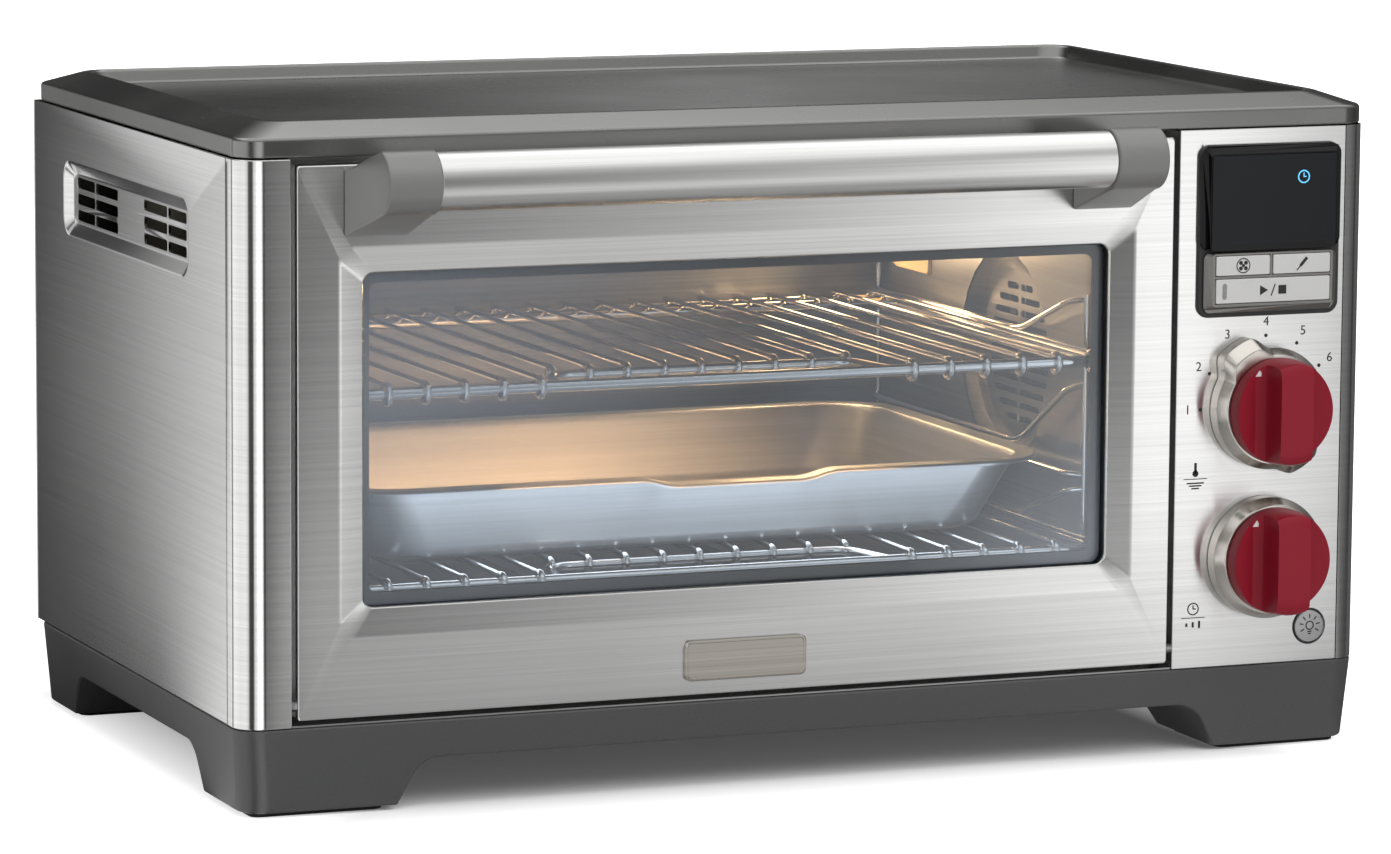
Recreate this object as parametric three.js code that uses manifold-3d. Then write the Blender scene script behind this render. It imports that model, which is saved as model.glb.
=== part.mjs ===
// Countertop toaster oven with a drop-down glass door, a control panel on the right and a warming top.
// Millimetres, +X to the right, -Y towards the user, +Z up, z = 0 under the rubber pads.
import * as THREE from 'three';
import { mergeVertices } from 'three/addons/utils/BufferGeometryUtils.js';
import Module from 'manifold-3d';

const wasm = await Module();
wasm.setup();

// ---------------------------------------------------------------- driving dimensions

const BODY_WIDTH = 571.5;
const BODY_DEPTH = 326;
const SHELL_HEIGHT = 260;
const SHEET = 1.2;                  // outer steel sheet
const CORNER_RADIUS = 12.7;         // front vertical corners
const FIT = 0.3;                    // gap between pieces that touch
const RUNNING_GAP = 0.5;            // gap round pieces that turn or slide

// base moulding and rubber pads
const PAD_HEIGHT = 2;
const PAD_INSET = 5;
const BASE_HEIGHT = 39.2;
const BASE_TAPER = 3;
const BASE_WALL = 3;
const BASE_BAND = 17.8;             // height of the moulding between the legs
const LEG_WIDTH = 77;
const FRONT_LEG_DEPTH = 64;
const REAR_LEG_DEPTH = 55;
const LEG_SLOPE = 11;               // how far a leg flares into the band
const LEG_FILLET = 9;

// top cover
const COVER_HEIGHT = 15.4;
const COVER_INSET = 0.6;
const COVER_BAND = 9;
const COVER_BEVEL = 17;             // width of the sloping border
const COVER_CREST = 3;              // width of the flat crest
const TRAY_SLOPE = 8;
const TRAY_DEPTH = 7;
const COVER_WALL = 2.5;

// front flanges of the side panels, and the vents pressed into their sides
const LEFT_FLANGE = 25;
const RETURN_DEPTH = 15;
const VENT_LENGTH = 200;
const VENT_HEIGHT = 36;
const VENT_RADIUS = 10;
const VENT_SLOPE = 6;
const VENT_DEPTH = 2;
const VENT_TOP_GAP = 25;            // shell top to the vent's upper edge
const VENT_CENTRE = 174.5;          // behind the front face
const VENT_SLOT_HEIGHT = 4.6;
const VENT_SLOT_PITCH = 7.6;
const VENT_SLOT_ROWS = 3;
const VENT_MIDDLE = 21;             // centre of the vent to the inner slots
const VENT_INNER_SLOT = 36;
const VENT_OUTER_SLOT = 28;
const VENT_SLOT_GAP = 2;

// control panel
const PANEL_WIDTH = 88.5;
const PANEL_SHEET = 1.5;
const CONTROL_SHIFT = 3.2;          // knobs and display to the right of the panel's middle

// display and the buttons under it
const MODULE_WIDTH = 75.4;
const DISPLAY_OVER_KNOB = 44.3;     // upper knob's axis to the lower edge of the buttons' block
const MODULE_TOP_GAP = 7.3;
const MODULE_RISE = 5.5;
const MODULE_RADIUS = 6;
const MODULE_BEVEL = 4.5;
const MODULE_DEPTH = 11;            // behind the panel's face
const MODULE_WALL = 2;
const GASKET_RISE = 1.5;
const KEY_BLOCK_HEIGHT = 31.8;      // silver part that holds the buttons
const KEY_BLOCK_INSET = 2.4;
const KEY_BLOCK_BEVEL = 3.2;
const KEY_BORDER = 1.3;
const KEY_GAP = 0.5;
const KEY_UPPER_HEIGHT = 10.5;
const KEY_PROUD = 0.5;
const KEY_THICKNESS = 4;
const KEY_TRAVEL = 1;
const LIGHT_BUTTON_RADIUS = 7.8;
const LIGHT_BUTTON_RIGHT = 14.8;    // panel's right edge to the button's centre
const LIGHT_BUTTON_UP = 17;

// collars and knobs
const UPPER_KNOB_UP = 125.5;        // above the bottom of the shell
const LOWER_KNOB_UP = 53;
const COLLAR_RADIUS = 29.5;
const COLLAR_DEPTH = 13;
const COLLAR_BEVEL = 5;
const LOBE_RISE = 7;
const LOBE_HALF_ANGLE = 24;         // degrees
const LOBE_FLANK = 10;              // degrees
const LOBE_ANGLE = 122;             // degrees, from the right, seen from the front
const KNOB_RADIUS = 25.5;
const KNOB_SKIRT = 7;
const KNOB_DEPTH = 21;
const GRIP_WIDTH = 18.7;
const SHAFT_RADIUS = 3;
const SHAFT_GRIP = 10;              // length of shaft inside the knob
const SLEEVE_RADIUS = 5.5;
const ENCODER_SIZE = 26;
const ENCODER_DEPTH = 14;

// door
const DOOR_GAP = 2.6;               // to the flange and to the control panel
const DOOR_END_GAP = 3;             // under and over the door
const DOOR_THICKNESS = 17.8;
const DOOR_RADIUS = 1.5;
const HINGE_UP = 6.5;               // hinge axis above the door's lower edge
const HINGE_BACK = 5;               // hinge axis behind the door's face
const HINGE_PIN_RADIUS = 2.5;
const HINGE_PIN_REACH = 7;
const BEZEL_SIDE = 20.4;            // door edge to the pressed frame round the window
const BEZEL_END = 37.8;
const BEZEL_SLOPE = 12.5;
const BEZEL_DEPTH = 7.5;
const BEZEL_RADIUS = 8;
const WINDOW_RADIUS = 5;
const GLASS_THICKNESS = 2.5;
const GLASS_LAP = 7;
const INNER_GLASS_LAP = 12;

// bare badge plate
const BADGE_WIDTH = 61;
const BADGE_HEIGHT = 19;
const BADGE_UP = 7;                 // above the door's lower edge
const BADGE_RISE = 2;
const BADGE_RADIUS = 3;

// door handle
const BAR_RADIUS = 13.25;
const BAR_REACH = 47;               // bar's axis in front of the door's face
const BAR_DROP = 4.2;               // bar's axis under the door's upper edge
const CAP_RADIUS = 14.75;
const CAP_LENGTH = 22.5;
const CAP_END_GAP = 29;             // door edge to the cap's end
const FOOT_END_GAP = 22.5;          // door edge to the bracket's foot
const FOOT_WIDTH = 31;
const FOOT_HEIGHT = 30;
const FOOT_DROP = 3;                // under the door's upper edge

// cavity and what closes its front
const CAVITY_SIDE_MARGIN = 19.25;   // door edge to the cavity's inner wall
const CAVITY_FLOOR = 22;            // above the bottom of the shell
const CAVITY_TOP_GAP = 38;          // cavity's ceiling to the shell's top
const CAVITY_BACK_GAP = 22;
const CAVITY_SHEET = 0.8;
const BOTTOM_SHEET = 0.8;
const SEAL_THICKNESS = 2.6;
const SEAL_WIDTH = 5.5;
const BLANKET_THICKNESS = 10;

// racks and their side guides
const WIRE = 1.5;                   // radius of a thin wire
const RAIL = 2.8;                   // radius of the rack's front rail
const RACK_SIDE_GAP = 12.5;         // cavity wall to the rack's outer wire
const SIDE_RAIL = 2.2;              // radius of the rack's side rails
const GRIP_ROD = 2.4;
const WELD = 0.15;                  // how far a welded wire sinks into its rail
const SIDE_RAIL_OUT = 4;            // outer wire to the side rail
const RACK_FRONT = 2;               // rack's foremost point behind the door's inner face
const RACK_BACK_GAP = 15;
const RACK_WIRES = 21;
const GRIP_WIRES = 9;               // middle wires that stop short at the hand hold
const GRIP_SETBACK = 36;
const GRIP_BEND = 8;
const HOOK_GAP = 0.05;              // front rail to the wires' hooked tips
const UPPER_RACK_UP = 148.5;        // above the bottom of the shell
const MIDDLE_LEVEL_UP = 93;
const LOWER_RACK_UP = 57.5;
const GUIDE_WALL_GAP = 1.5;         // cavity wall to the guide's posts
const GUIDE_RISE = 20;
const GUIDE_BEND_BACK = 64;
const GUIDE_FRONT_BACK = 27;
const GUIDE_CRANK = 10;             // length of the rails' cranked ends

// baking pan, on the lower rack
const PAN_WIDTH = 366;
const PAN_DEPTH = 226;
const PAN_HEIGHT = 37;
const PAN_SHEET = 1.2;
const PAN_RIM = 11;
const PAN_TAPER = 12;
const PAN_RADIUS = 38;
const PAN_FRONT_BACK = 20;          // pan's front behind the rack's front rail
const PAN_GRIP_WIDTH = 92;
const PAN_GRIP_DIP = 3.5;

// crumb tray
const CRUMB_HEIGHT = 5;
const CRUMB_SHEET = 0.8;
const CRUMB_SIDE_GAP = 4;
const CRUMB_FRONT = 7;              // behind the door's inner face
const CRUMB_BACK_GAP = 12;

// heating elements
const ELEMENT_RADIUS = 3.2;
const ELEMENT_DROP = 12;            // under the ceiling
const ELEMENT_RISE = 15;            // over the floor
const ELEMENT_SIDE_GAP = 22;
const ELEMENT_FRONT_GAP = 60;
const ELEMENT_BEND = 18;
const TERMINAL_LENGTH = 9;

// fan behind the right wall
const FAN_BACK = 150;               // centre behind the front face
const FAN_UP = 136;                 // centre above the bottom of the shell
const DISH_RADIUS = 52;
const DISH_FACE_RADIUS = 41;
const DISH_DEPTH = 7;
const DISH_FLANGE = 5;
const FAN_SLOT_HEIGHT = 3;
const FAN_SLOT_PITCH = 6;
const FAN_SLOT_BAR = 3;
const IMPELLER_RADIUS = 38;
const IMPELLER_WIDTH = 12;
const IMPELLER_BLADES = 10;
const FAN_SHAFT_RADIUS = 3;
const HOUSING_WALL = 1;
const MOTOR_RADIUS = 24;
const MOTOR_LENGTH = 34;

// oven lamp, on the right wall near the back
const LAMP_BACK = 262;
const LAMP_DROP = 40;               // centre under the cavity's ceiling
const LAMP_WIDTH = 44;
const LAMP_HEIGHT = 34;
const LAMP_BOX_DEPTH = 26;
const LENS_THICKNESS = 3;

// temperature sensor on the back wall
const SENSOR_RADIUS = 2;
const SENSOR_LENGTH = 46;
const SENSOR_IN = 45;               // right wall to the sensor
const SENSOR_CLIP_DROP = 16;
const SENSOR_CLIP = 8;

// back
const SPACER_LENGTH = 24.75;
const SPACER_RADIUS = 10;
const SPACER_IN = 60;
const SPACER_DOWN = 45;
const BACK_SLOT_LENGTH = 62;
const BACK_SLOT_HEIGHT = 3.2;
const BACK_SLOT_PITCH = 8;
const BACK_SLOT_ROWS = 6;
const BACK_SLOT_COLUMNS = 3;
const GLAND_RADIUS = 9;
const GLAND_HOLE = 4;

// circuit board behind the control panel
const BOARD_THICKNESS = 1.6;
const BOARD_WIDTH = 70;
const PART_DEPTH = 18;              // tallest part on the board

// ---------------------------------------------------------------- places worked out from them

const HALF_WIDTH = BODY_WIDTH / 2;
const BASE_BOTTOM = PAD_HEIGHT + FIT;
const BASE_TOP = BASE_BOTTOM + BASE_HEIGHT;
const SHELL_BOTTOM = BASE_TOP + FIT;
const SHELL_TOP = SHELL_BOTTOM + SHELL_HEIGHT;
const COVER_BOTTOM = SHELL_TOP + FIT;
const COVER_TOP = COVER_BOTTOM + COVER_HEIGHT;
const BACK_FACE = BODY_DEPTH - SHEET;
const INSIDE_BACK = BACK_FACE - FIT;

const FLANGE_EDGE = -HALF_WIDTH + LEFT_FLANGE;
const PANEL_RIGHT = HALF_WIDTH - CORNER_RADIUS - FIT;
const PANEL_LEFT = PANEL_RIGHT - PANEL_WIDTH;
const CONTROL_X = (PANEL_LEFT + PANEL_RIGHT) / 2 + CONTROL_SHIFT;
const DOOR_LEFT = FLANGE_EDGE + DOOR_GAP;
const DOOR_RIGHT = PANEL_LEFT - DOOR_GAP;
const DOOR_MIDDLE = (DOOR_LEFT + DOOR_RIGHT) / 2;
const DOOR_BOTTOM = SHELL_BOTTOM + DOOR_END_GAP;
const DOOR_TOP = SHELL_TOP - DOOR_END_GAP;
const HINGE_Y = HINGE_BACK;
const HINGE_Z = DOOR_BOTTOM + HINGE_UP;

const FRAME_FRONT = DOOR_THICKNESS + SEAL_THICKNESS + 2 * FIT;
const FRAME_BACK = FRAME_FRONT + SHEET;
const CAVITY_LEFT = DOOR_LEFT + CAVITY_SIDE_MARGIN;
const CAVITY_RIGHT = DOOR_RIGHT - CAVITY_SIDE_MARGIN;
const CAVITY_BOTTOM = SHELL_BOTTOM + CAVITY_FLOOR;
const CAVITY_TOP = SHELL_TOP - CAVITY_TOP_GAP;
const CAVITY_FRONT = FRAME_BACK + FIT;
const CAVITY_BACK = BODY_DEPTH - CAVITY_BACK_GAP;
const FLOOR_TOP = SHELL_BOTTOM + BOTTOM_SHEET;

// ---------------------------------------------------------------- solids from shapes

function facesOut(geometry) {
  const place = geometry.attributes.position;
  const index = geometry.index.array;
  const [a, b, c] = [new THREE.Vector3(), new THREE.Vector3(), new THREE.Vector3()];
  let volume = 0;
  for (let i = 0; i < index.length; i += 3) {
    a.fromBufferAttribute(place, index[i]);
    b.fromBufferAttribute(place, index[i + 1]);
    c.fromBufferAttribute(place, index[i + 2]);
    volume += a.dot(b.cross(c));
  }
  return volume > 0;
}

// One closed mesh with shared corners, no flat triangles and its faces pointing out
function closed(geometry) {
  const bare = geometry.clone();
  bare.deleteAttribute('normal');
  bare.deleteAttribute('uv');
  const merged = mergeVertices(bare, 1e-4);
  const index = [];
  for (let i = 0; i < merged.index.count; i += 3) {
    const [a, b, c] = [0, 1, 2].map((k) => merged.index.getX(i + k));
    if (a !== b && b !== c && c !== a) index.push(a, b, c);
  }
  merged.setIndex(index);
  if (!facesOut(merged)) merged.setIndex(index.reverse());
  return merged;
}

function toSolid(geometry) {
  const mesh = closed(geometry);
  return new wasm.Manifold(new wasm.Mesh({
    numProp: 3,
    vertProperties: Float32Array.from(mesh.attributes.position.array),
    triVerts: Uint32Array.from(mesh.index.array),
  }));
}

function toGeometry(solid) {
  const mesh = solid.getMesh();
  const geometry = new THREE.BufferGeometry();
  geometry.setAttribute('position', new THREE.BufferAttribute(Float32Array.from(mesh.vertProperties), 3));
  geometry.setIndex(Array.from(mesh.triVerts));
  return geometry;
}

function join(first, ...others) {
  return toGeometry(others.reduce((solid, other) => solid.add(toSolid(other)), toSolid(first)));
}

function cut(first, ...tools) {
  return toGeometry(tools.reduce((solid, tool) => solid.subtract(toSolid(tool)), toSolid(first)));
}

function common(first, second) {
  return toGeometry(toSolid(first).intersect(toSolid(second)));
}

function mirrored(geometry) {
  return closed(geometry.clone().scale(-1, 1, 1));
}

function block(x0, x1, y0, y1, z0, z1) {
  const box = new THREE.BoxGeometry(x1 - x0, y1 - y0, z1 - z0);
  return box.translate((x0 + x1) / 2, (y0 + y1) / 2, (z0 + z1) / 2);
}

function roundedShape(a0, a1, b0, b1, radius) {
  const shape = new THREE.Shape();
  shape.moveTo(a0 + radius, b0);
  shape.absarc(a1 - radius, b0 + radius, radius, -Math.PI / 2, 0, false);
  shape.absarc(a1 - radius, b1 - radius, radius, 0, Math.PI / 2, false);
  shape.absarc(a0 + radius, b1 - radius, radius, Math.PI / 2, Math.PI, false);
  shape.absarc(a0 + radius, b0 + radius, radius, Math.PI, 1.5 * Math.PI, false);
  return shape;
}

function polygon(points) {
  return new THREE.Shape(points.map(([a, b]) => new THREE.Vector2(a, b)));
}

// A shape drawn in plan, raised from z0 to z1
function upright(shape, z0, z1, curveSegments = 4) {
  const solid = new THREE.ExtrudeGeometry(shape, { depth: z1 - z0, bevelEnabled: false, curveSegments });
  return closed(solid.translate(0, 0, z0));
}

// A shape drawn as seen from the front, (x, z), from y0 back to y1
function fromFront(shape, y0, y1, curveSegments = 4) {
  const solid = new THREE.ExtrudeGeometry(shape, { depth: y1 - y0, bevelEnabled: false, curveSegments });
  return closed(solid.rotateX(Math.PI / 2).translate(0, y1, 0));
}

// A shape drawn as seen from the side, (y, z), from x0 to x1
function fromSide(shape, x0, x1, curveSegments = 4) {
  const solid = new THREE.ExtrudeGeometry(shape, { depth: x1 - x0, bevelEnabled: false, curveSegments });
  const turn = new THREE.Matrix4().makeBasis(
    new THREE.Vector3(0, 1, 0), new THREE.Vector3(0, 0, 1), new THREE.Vector3(1, 0, 0));
  return closed(solid.applyMatrix4(turn).translate(x0, 0, 0));
}

function barAlongX(x0, x1, y, z, radius, sides = 16) {
  const bar = new THREE.CylinderGeometry(radius, radius, x1 - x0, sides);
  return closed(bar.rotateZ(Math.PI / 2).translate((x0 + x1) / 2, y, z));
}

function barAlongY(x, z, y0, y1, radius, sides = 16) {
  const bar = new THREE.CylinderGeometry(radius, radius, y1 - y0, sides);
  return closed(bar.translate(x, (y0 + y1) / 2, z));
}

// A profile of [radius, height] points turned about an axis that points at the user
function turnedForward(profile, x, z, segments = 32) {
  const points = profile.map(([radius, height]) => new THREE.Vector2(radius, height));
  const solid = new THREE.LatheGeometry(points, segments);
  return closed(solid.rotateX(Math.PI).translate(x, 0, z));
}

// A profile of [radius, x] points turned about an axis along X
function turnedAlongX(profile, y, z, segments = 32) {
  const points = profile.map(([radius, height]) => new THREE.Vector2(radius, height));
  const solid = new THREE.LatheGeometry(points, segments);
  return closed(solid.rotateZ(-Math.PI / 2).translate(0, y, z));
}

// Skin over a row of outlines with equal point counts, closed at both ends
function loft(sections) {
  const count = sections[0].length;
  const positions = sections.flat().flatMap((point) => [point.x, point.y, point.z]);
  const index = [];
  for (let level = 0; level < sections.length - 1; level += 1) {
    for (let i = 0; i < count; i += 1) {
      const near = level * count + i;
      const next = level * count + (i + 1) % count;
      index.push(near, next, next + count, near, next + count, near + count);
    }
  }
  const last = (sections.length - 1) * count;
  for (let i = 1; i < count - 1; i += 1) {
    index.push(0, i + 1, i);
    index.push(last, last + i, last + i + 1);
  }
  const geometry = new THREE.BufferGeometry();
  geometry.setAttribute('position', new THREE.Float32BufferAttribute(positions, 3));
  geometry.setIndex(index);
  return closed(geometry);
}

function outlinePoints(a0, a1, b0, b1, radius, steps = 4) {
  const centres = [[a1 - radius, b0 + radius], [a1 - radius, b1 - radius],
    [a0 + radius, b1 - radius], [a0 + radius, b0 + radius]];
  return centres.flatMap(([a, b], corner) => Array.from({ length: steps + 1 }, (_, i) => {
    const angle = (corner - 1 + i / steps) * Math.PI / 2;
    return new THREE.Vector2(a + radius * Math.cos(angle), b + radius * Math.sin(angle));
  }));
}

function atHeight(points, z) {
  return points.map((p) => new THREE.Vector3(p.x, p.y, z));
}

function atDepth(points, y) {
  return points.map((p) => new THREE.Vector3(p.x, y, p.y));
}

function atSide(points, x) {
  return points.map((p) => new THREE.Vector3(x, p.x, p.y));
}

// Centre line of a bent wire, with one section at each of its points
class WireRoute extends THREE.Curve {
  constructor(points) {
    super();
    this.points = points.map(([x, y, z]) => new THREE.Vector3(x, y, z));
  }

  getPoint(t, target = new THREE.Vector3()) {
    const place = t * (this.points.length - 1);
    const i = Math.min(Math.floor(place), this.points.length - 2);
    return target.lerpVectors(this.points[i], this.points[i + 1], place - i);
  }

  getPointAt(u, target) {
    return this.getPoint(u, target);
  }

  getTangentAt(u, target = new THREE.Vector3()) {
    const i = Math.round(u * (this.points.length - 1));
    const here = this.points[i];
    const before = this.points[Math.max(i - 1, 0)];
    const after = this.points[Math.min(i + 1, this.points.length - 1)];
    const arriving = here.clone().sub(before).normalize();
    const leaving = after.clone().sub(here).normalize();
    return target.addVectors(arriving, leaving).normalize();
  }
}

function wire(points, radius, sides = 4) {
  const section = new THREE.Shape(Array.from({ length: sides }, (_, i) => {
    const angle = 2 * Math.PI * (i + 0.5) / sides;
    return new THREE.Vector2(radius * Math.cos(angle), radius * Math.sin(angle));
  }));
  const settings = { steps: points.length - 1, bevelEnabled: false, extrudePath: new WireRoute(points) };
  return closed(new THREE.ExtrudeGeometry(section, settings));
}

// ---------------------------------------------------------------- finishes

function finish(color, roughness, metalness) {
  return new THREE.MeshStandardMaterial({ color, roughness, metalness });
}

const brushedSteel = finish(0xb9b9b6, 0.35, 1);
const plainSteel = finish(0x9a9a98, 0.45, 1);
const darkMetal = finish(0x4d4d4c, 0.55, 0.6);
const graphite = finish(0x6b6b69, 0.5, 0.7);
const rubber = finish(0x161616, 0.9, 0);
const blackGloss = finish(0x08090a, 0.12, 0);
const blackPlastic = finish(0x141414, 0.5, 0);
const silverKey = finish(0xc9c9c6, 0.35, 0.8);
const nickel = finish(0xaea390, 0.3, 1);
const redPlastic = finish(0x8f1226, 0.3, 0);
const glass = finish(0x2a3038, 0.05, 0);
const chrome = finish(0xd8d8d6, 0.1, 1);
const panSteel = finish(0xaab2b8, 0.35, 1);
const cavitySteel = finish(0x7c7873, 0.4, 1);
const wool = finish(0xd9d2bd, 1, 0);
const greenBoard = finish(0x1f5b3a, 0.6, 0);
const lampGlass = finish(0xf3e2b8, 0.2, 0);

const oven = new THREE.Group();

function add(name, geometry, material) {
  const mesh = new THREE.Mesh(closed(geometry), material);
  mesh.name = name;
  oven.add(mesh);
}

// ---------------------------------------------------------------- base moulding and pads

// A tunnel between two legs: wider at the floor, with rounded upper corners
function tunnelShape(left, right) {
  const top = BASE_TOP - BASE_BAND;
  const below = BASE_BOTTOM - 1;
  const lean = LEG_FILLET * LEG_SLOPE / (BASE_HEIGHT - BASE_BAND);
  const shape = new THREE.Shape();
  shape.moveTo(left, below);
  shape.lineTo(right, below);
  shape.lineTo(right - LEG_SLOPE + lean, top - LEG_FILLET);
  shape.quadraticCurveTo(right - LEG_SLOPE, top, right - LEG_SLOPE - LEG_FILLET, top);
  shape.lineTo(left + LEG_SLOPE + LEG_FILLET, top);
  shape.quadraticCurveTo(left + LEG_SLOPE, top, left + LEG_SLOPE - lean, top - LEG_FILLET);
  return shape;
}

const LEG_INSIDE = HALF_WIDTH - LEG_WIDTH;

function baseMoulding() {
  const outer = loft([
    atHeight(outlinePoints(-HALF_WIDTH + BASE_TAPER, HALF_WIDTH - BASE_TAPER,
      BASE_TAPER, BODY_DEPTH - BASE_TAPER, CORNER_RADIUS), BASE_BOTTOM),
    atHeight(outlinePoints(-HALF_WIDTH, HALF_WIDTH, 0, BODY_DEPTH, CORNER_RADIUS), BASE_TOP),
  ]);
  const alongDepth = fromFront(tunnelShape(-LEG_INSIDE, LEG_INSIDE), -1, BODY_DEPTH + 1);
  const alongWidth = fromSide(tunnelShape(FRONT_LEG_DEPTH, BODY_DEPTH - REAR_LEG_DEPTH),
    -HALF_WIDTH - 1, HALF_WIDTH + 1);
  const inset = BASE_TAPER + BASE_WALL;
  const deck = BASE_TOP - BASE_BAND + BASE_WALL;
  const hollow = upright(roundedShape(-HALF_WIDTH + inset, HALF_WIDTH - inset,
    inset, BODY_DEPTH - inset, CORNER_RADIUS - BASE_WALL), deck, BASE_TOP + 1);
  const legHollows = [];
  for (const side of [-1, 1]) {
    const near = LEG_INSIDE + BASE_WALL;
    const far = HALF_WIDTH - inset - CORNER_RADIUS / 3;
    const x = [side * near, side * far].sort((a, b) => a - b);
    const z = [BASE_BOTTOM + BASE_WALL, deck + 1];
    legHollows.push(block(...x, inset + CORNER_RADIUS / 3, FRONT_LEG_DEPTH - BASE_WALL, ...z));
    legHollows.push(block(...x, BODY_DEPTH - REAR_LEG_DEPTH + BASE_WALL,
      BODY_DEPTH - inset - CORNER_RADIUS / 3, ...z));
  }
  return cut(outer, alongDepth, alongWidth, hollow, ...legHollows);
}

add('base_moulding', baseMoulding(), darkMetal);

for (const [side, x0, x1] of [
  ['left', -HALF_WIDTH + BASE_TAPER + PAD_INSET, -LEG_INSIDE - PAD_INSET],
  ['right', LEG_INSIDE + PAD_INSET, HALF_WIDTH - BASE_TAPER - PAD_INSET],
]) {
  for (const [end, y0, y1] of [
    ['front', BASE_TAPER + PAD_INSET, FRONT_LEG_DEPTH - PAD_INSET],
    ['rear', BODY_DEPTH - REAR_LEG_DEPTH + PAD_INSET, BODY_DEPTH - BASE_TAPER - PAD_INSET],
  ]) {
    add(`${end}_${side}_pad`, upright(roundedShape(x0, x1, y0, y1, PAD_INSET), 0, PAD_HEIGHT, 2),
      rubber);
  }
}

// ---------------------------------------------------------------- outer shell

// The plate under the case shows as a bright lip beneath the door
add('bottom_plate', join(
  block(-HALF_WIDTH + SHEET + FIT, HALF_WIDTH - SHEET - FIT, RETURN_DEPTH + FIT, INSIDE_BACK - FIT,
    SHELL_BOTTOM, FLOOR_TOP),
  block(FLANGE_EDGE + FIT, PANEL_LEFT - FIT, SHEET, RETURN_DEPTH + 2 * FIT, SHELL_BOTTOM, FLOOR_TOP),
), plainSteel);

// A steel side that turns the front corner and ends in a flange with a return, as for the left side
function sideSheet(flange) {
  const outside = -HALF_WIDTH;
  const centre = outside + CORNER_RADIUS;
  const innerRadius = CORNER_RADIUS - SHEET;
  const edge = outside + flange;
  const inset = Math.max(0, centre - (edge - SHEET));
  const start = 1.5 * Math.PI - Math.asin(Math.min(1, inset / innerRadius));
  const shape = new THREE.Shape();
  shape.moveTo(outside, INSIDE_BACK);
  shape.lineTo(outside, CORNER_RADIUS);
  shape.absarc(centre, CORNER_RADIUS, CORNER_RADIUS, Math.PI, 1.5 * Math.PI, false);
  shape.lineTo(edge, 0);
  shape.lineTo(edge, RETURN_DEPTH);
  shape.lineTo(edge - SHEET, RETURN_DEPTH);
  if (inset === 0) shape.lineTo(edge - SHEET, SHEET);
  shape.absarc(centre, CORNER_RADIUS, innerRadius, start, Math.PI, true);
  shape.lineTo(outside + SHEET, INSIDE_BACK);
  return upright(shape, SHELL_BOTTOM, SHELL_TOP, 6);
}

// The vent: a shallow pressed dish with rows of slots, left bare in the middle
function withVent(sheet) {
  const outside = -HALF_WIDTH;
  const top = SHELL_TOP - VENT_TOP_GAP;
  const edges = (grow) => [VENT_CENTRE - VENT_LENGTH / 2 - grow, VENT_CENTRE + VENT_LENGTH / 2 + grow,
    top - VENT_HEIGHT - grow, top + grow];
  const outline = (grow) => outlinePoints(...edges(grow), VENT_RADIUS + grow);
  const back = loft([
    atSide(outline(SHEET), outside + SHEET / 2),
    atSide(outline(SHEET - VENT_SLOPE), outside + VENT_DEPTH + SHEET),
  ]);
  const dish = loft([
    atSide(outline(VENT_SLOPE), outside - VENT_DEPTH),
    atSide(outline(0), outside),
    atSide(outline(-VENT_SLOPE), outside + VENT_DEPTH),
  ]);
  const slots = [];
  const middle = top - VENT_HEIGHT / 2;
  const columns = [
    [VENT_MIDDLE, VENT_MIDDLE + VENT_INNER_SLOT],
    [VENT_MIDDLE + VENT_INNER_SLOT + VENT_SLOT_GAP,
      VENT_MIDDLE + VENT_INNER_SLOT + VENT_SLOT_GAP + VENT_OUTER_SLOT],
  ];
  for (let row = 0; row < VENT_SLOT_ROWS; row += 1) {
    const z = middle + (row - (VENT_SLOT_ROWS - 1) / 2) * VENT_SLOT_PITCH;
    for (const [near, far] of columns) {
      for (const side of [-1, 1]) {
        const y = [VENT_CENTRE + side * near, VENT_CENTRE + side * far].sort((a, b) => a - b);
        slots.push(block(outside - 1, outside + VENT_DEPTH + SHEET + 1, ...y,
          z - VENT_SLOT_HEIGHT / 2, z + VENT_SLOT_HEIGHT / 2));
      }
    }
  }
  return cut(join(sheet, back), dish, ...slots);
}

const hingeHole = barAlongX(FLANGE_EDGE - 2 * SHEET, FLANGE_EDGE + SHEET, HINGE_Y, HINGE_Z,
  HINGE_PIN_RADIUS + FIT, 12);
add('left_side_panel', cut(withVent(sideSheet(LEFT_FLANGE)), hingeHole), brushedSteel);
add('right_side_panel', mirrored(withVent(sideSheet(CORNER_RADIUS))), brushedSteel);

function backPanel() {
  const sheet = upright(roundedShape(-HALF_WIDTH, HALF_WIDTH, BACK_FACE, BODY_DEPTH, SHEET / 3),
    SHELL_BOTTOM, SHELL_TOP, 2);
  const cuts = [];
  const rowSpan = (BACK_SLOT_ROWS - 1) * BACK_SLOT_PITCH;
  const columnPitch = BACK_SLOT_LENGTH + BACK_SLOT_PITCH;
  for (let column = 0; column < BACK_SLOT_COLUMNS; column += 1) {
    const x = CAVITY_RIGHT - (BACK_SLOT_COLUMNS - 1 - column) * columnPitch;
    for (let row = 0; row < BACK_SLOT_ROWS; row += 1) {
      const z = (SHELL_BOTTOM + SHELL_TOP) / 2 - rowSpan / 2 + row * BACK_SLOT_PITCH;
      cuts.push(block(x, x + BACK_SLOT_LENGTH, BACK_FACE - 1, BODY_DEPTH + 1, z, z + BACK_SLOT_HEIGHT));
    }
  }
  cuts.push(barAlongY(GLAND_X, GLAND_Z, BACK_FACE - 1, BODY_DEPTH + 1, GLAND_RADIUS + FIT));
  return cut(sheet, ...cuts);
}

const GLAND_X = HALF_WIDTH - SPACER_IN;
const GLAND_Z = SHELL_BOTTOM + SPACER_DOWN;
add('back_panel', backPanel(), plainSteel);

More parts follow.
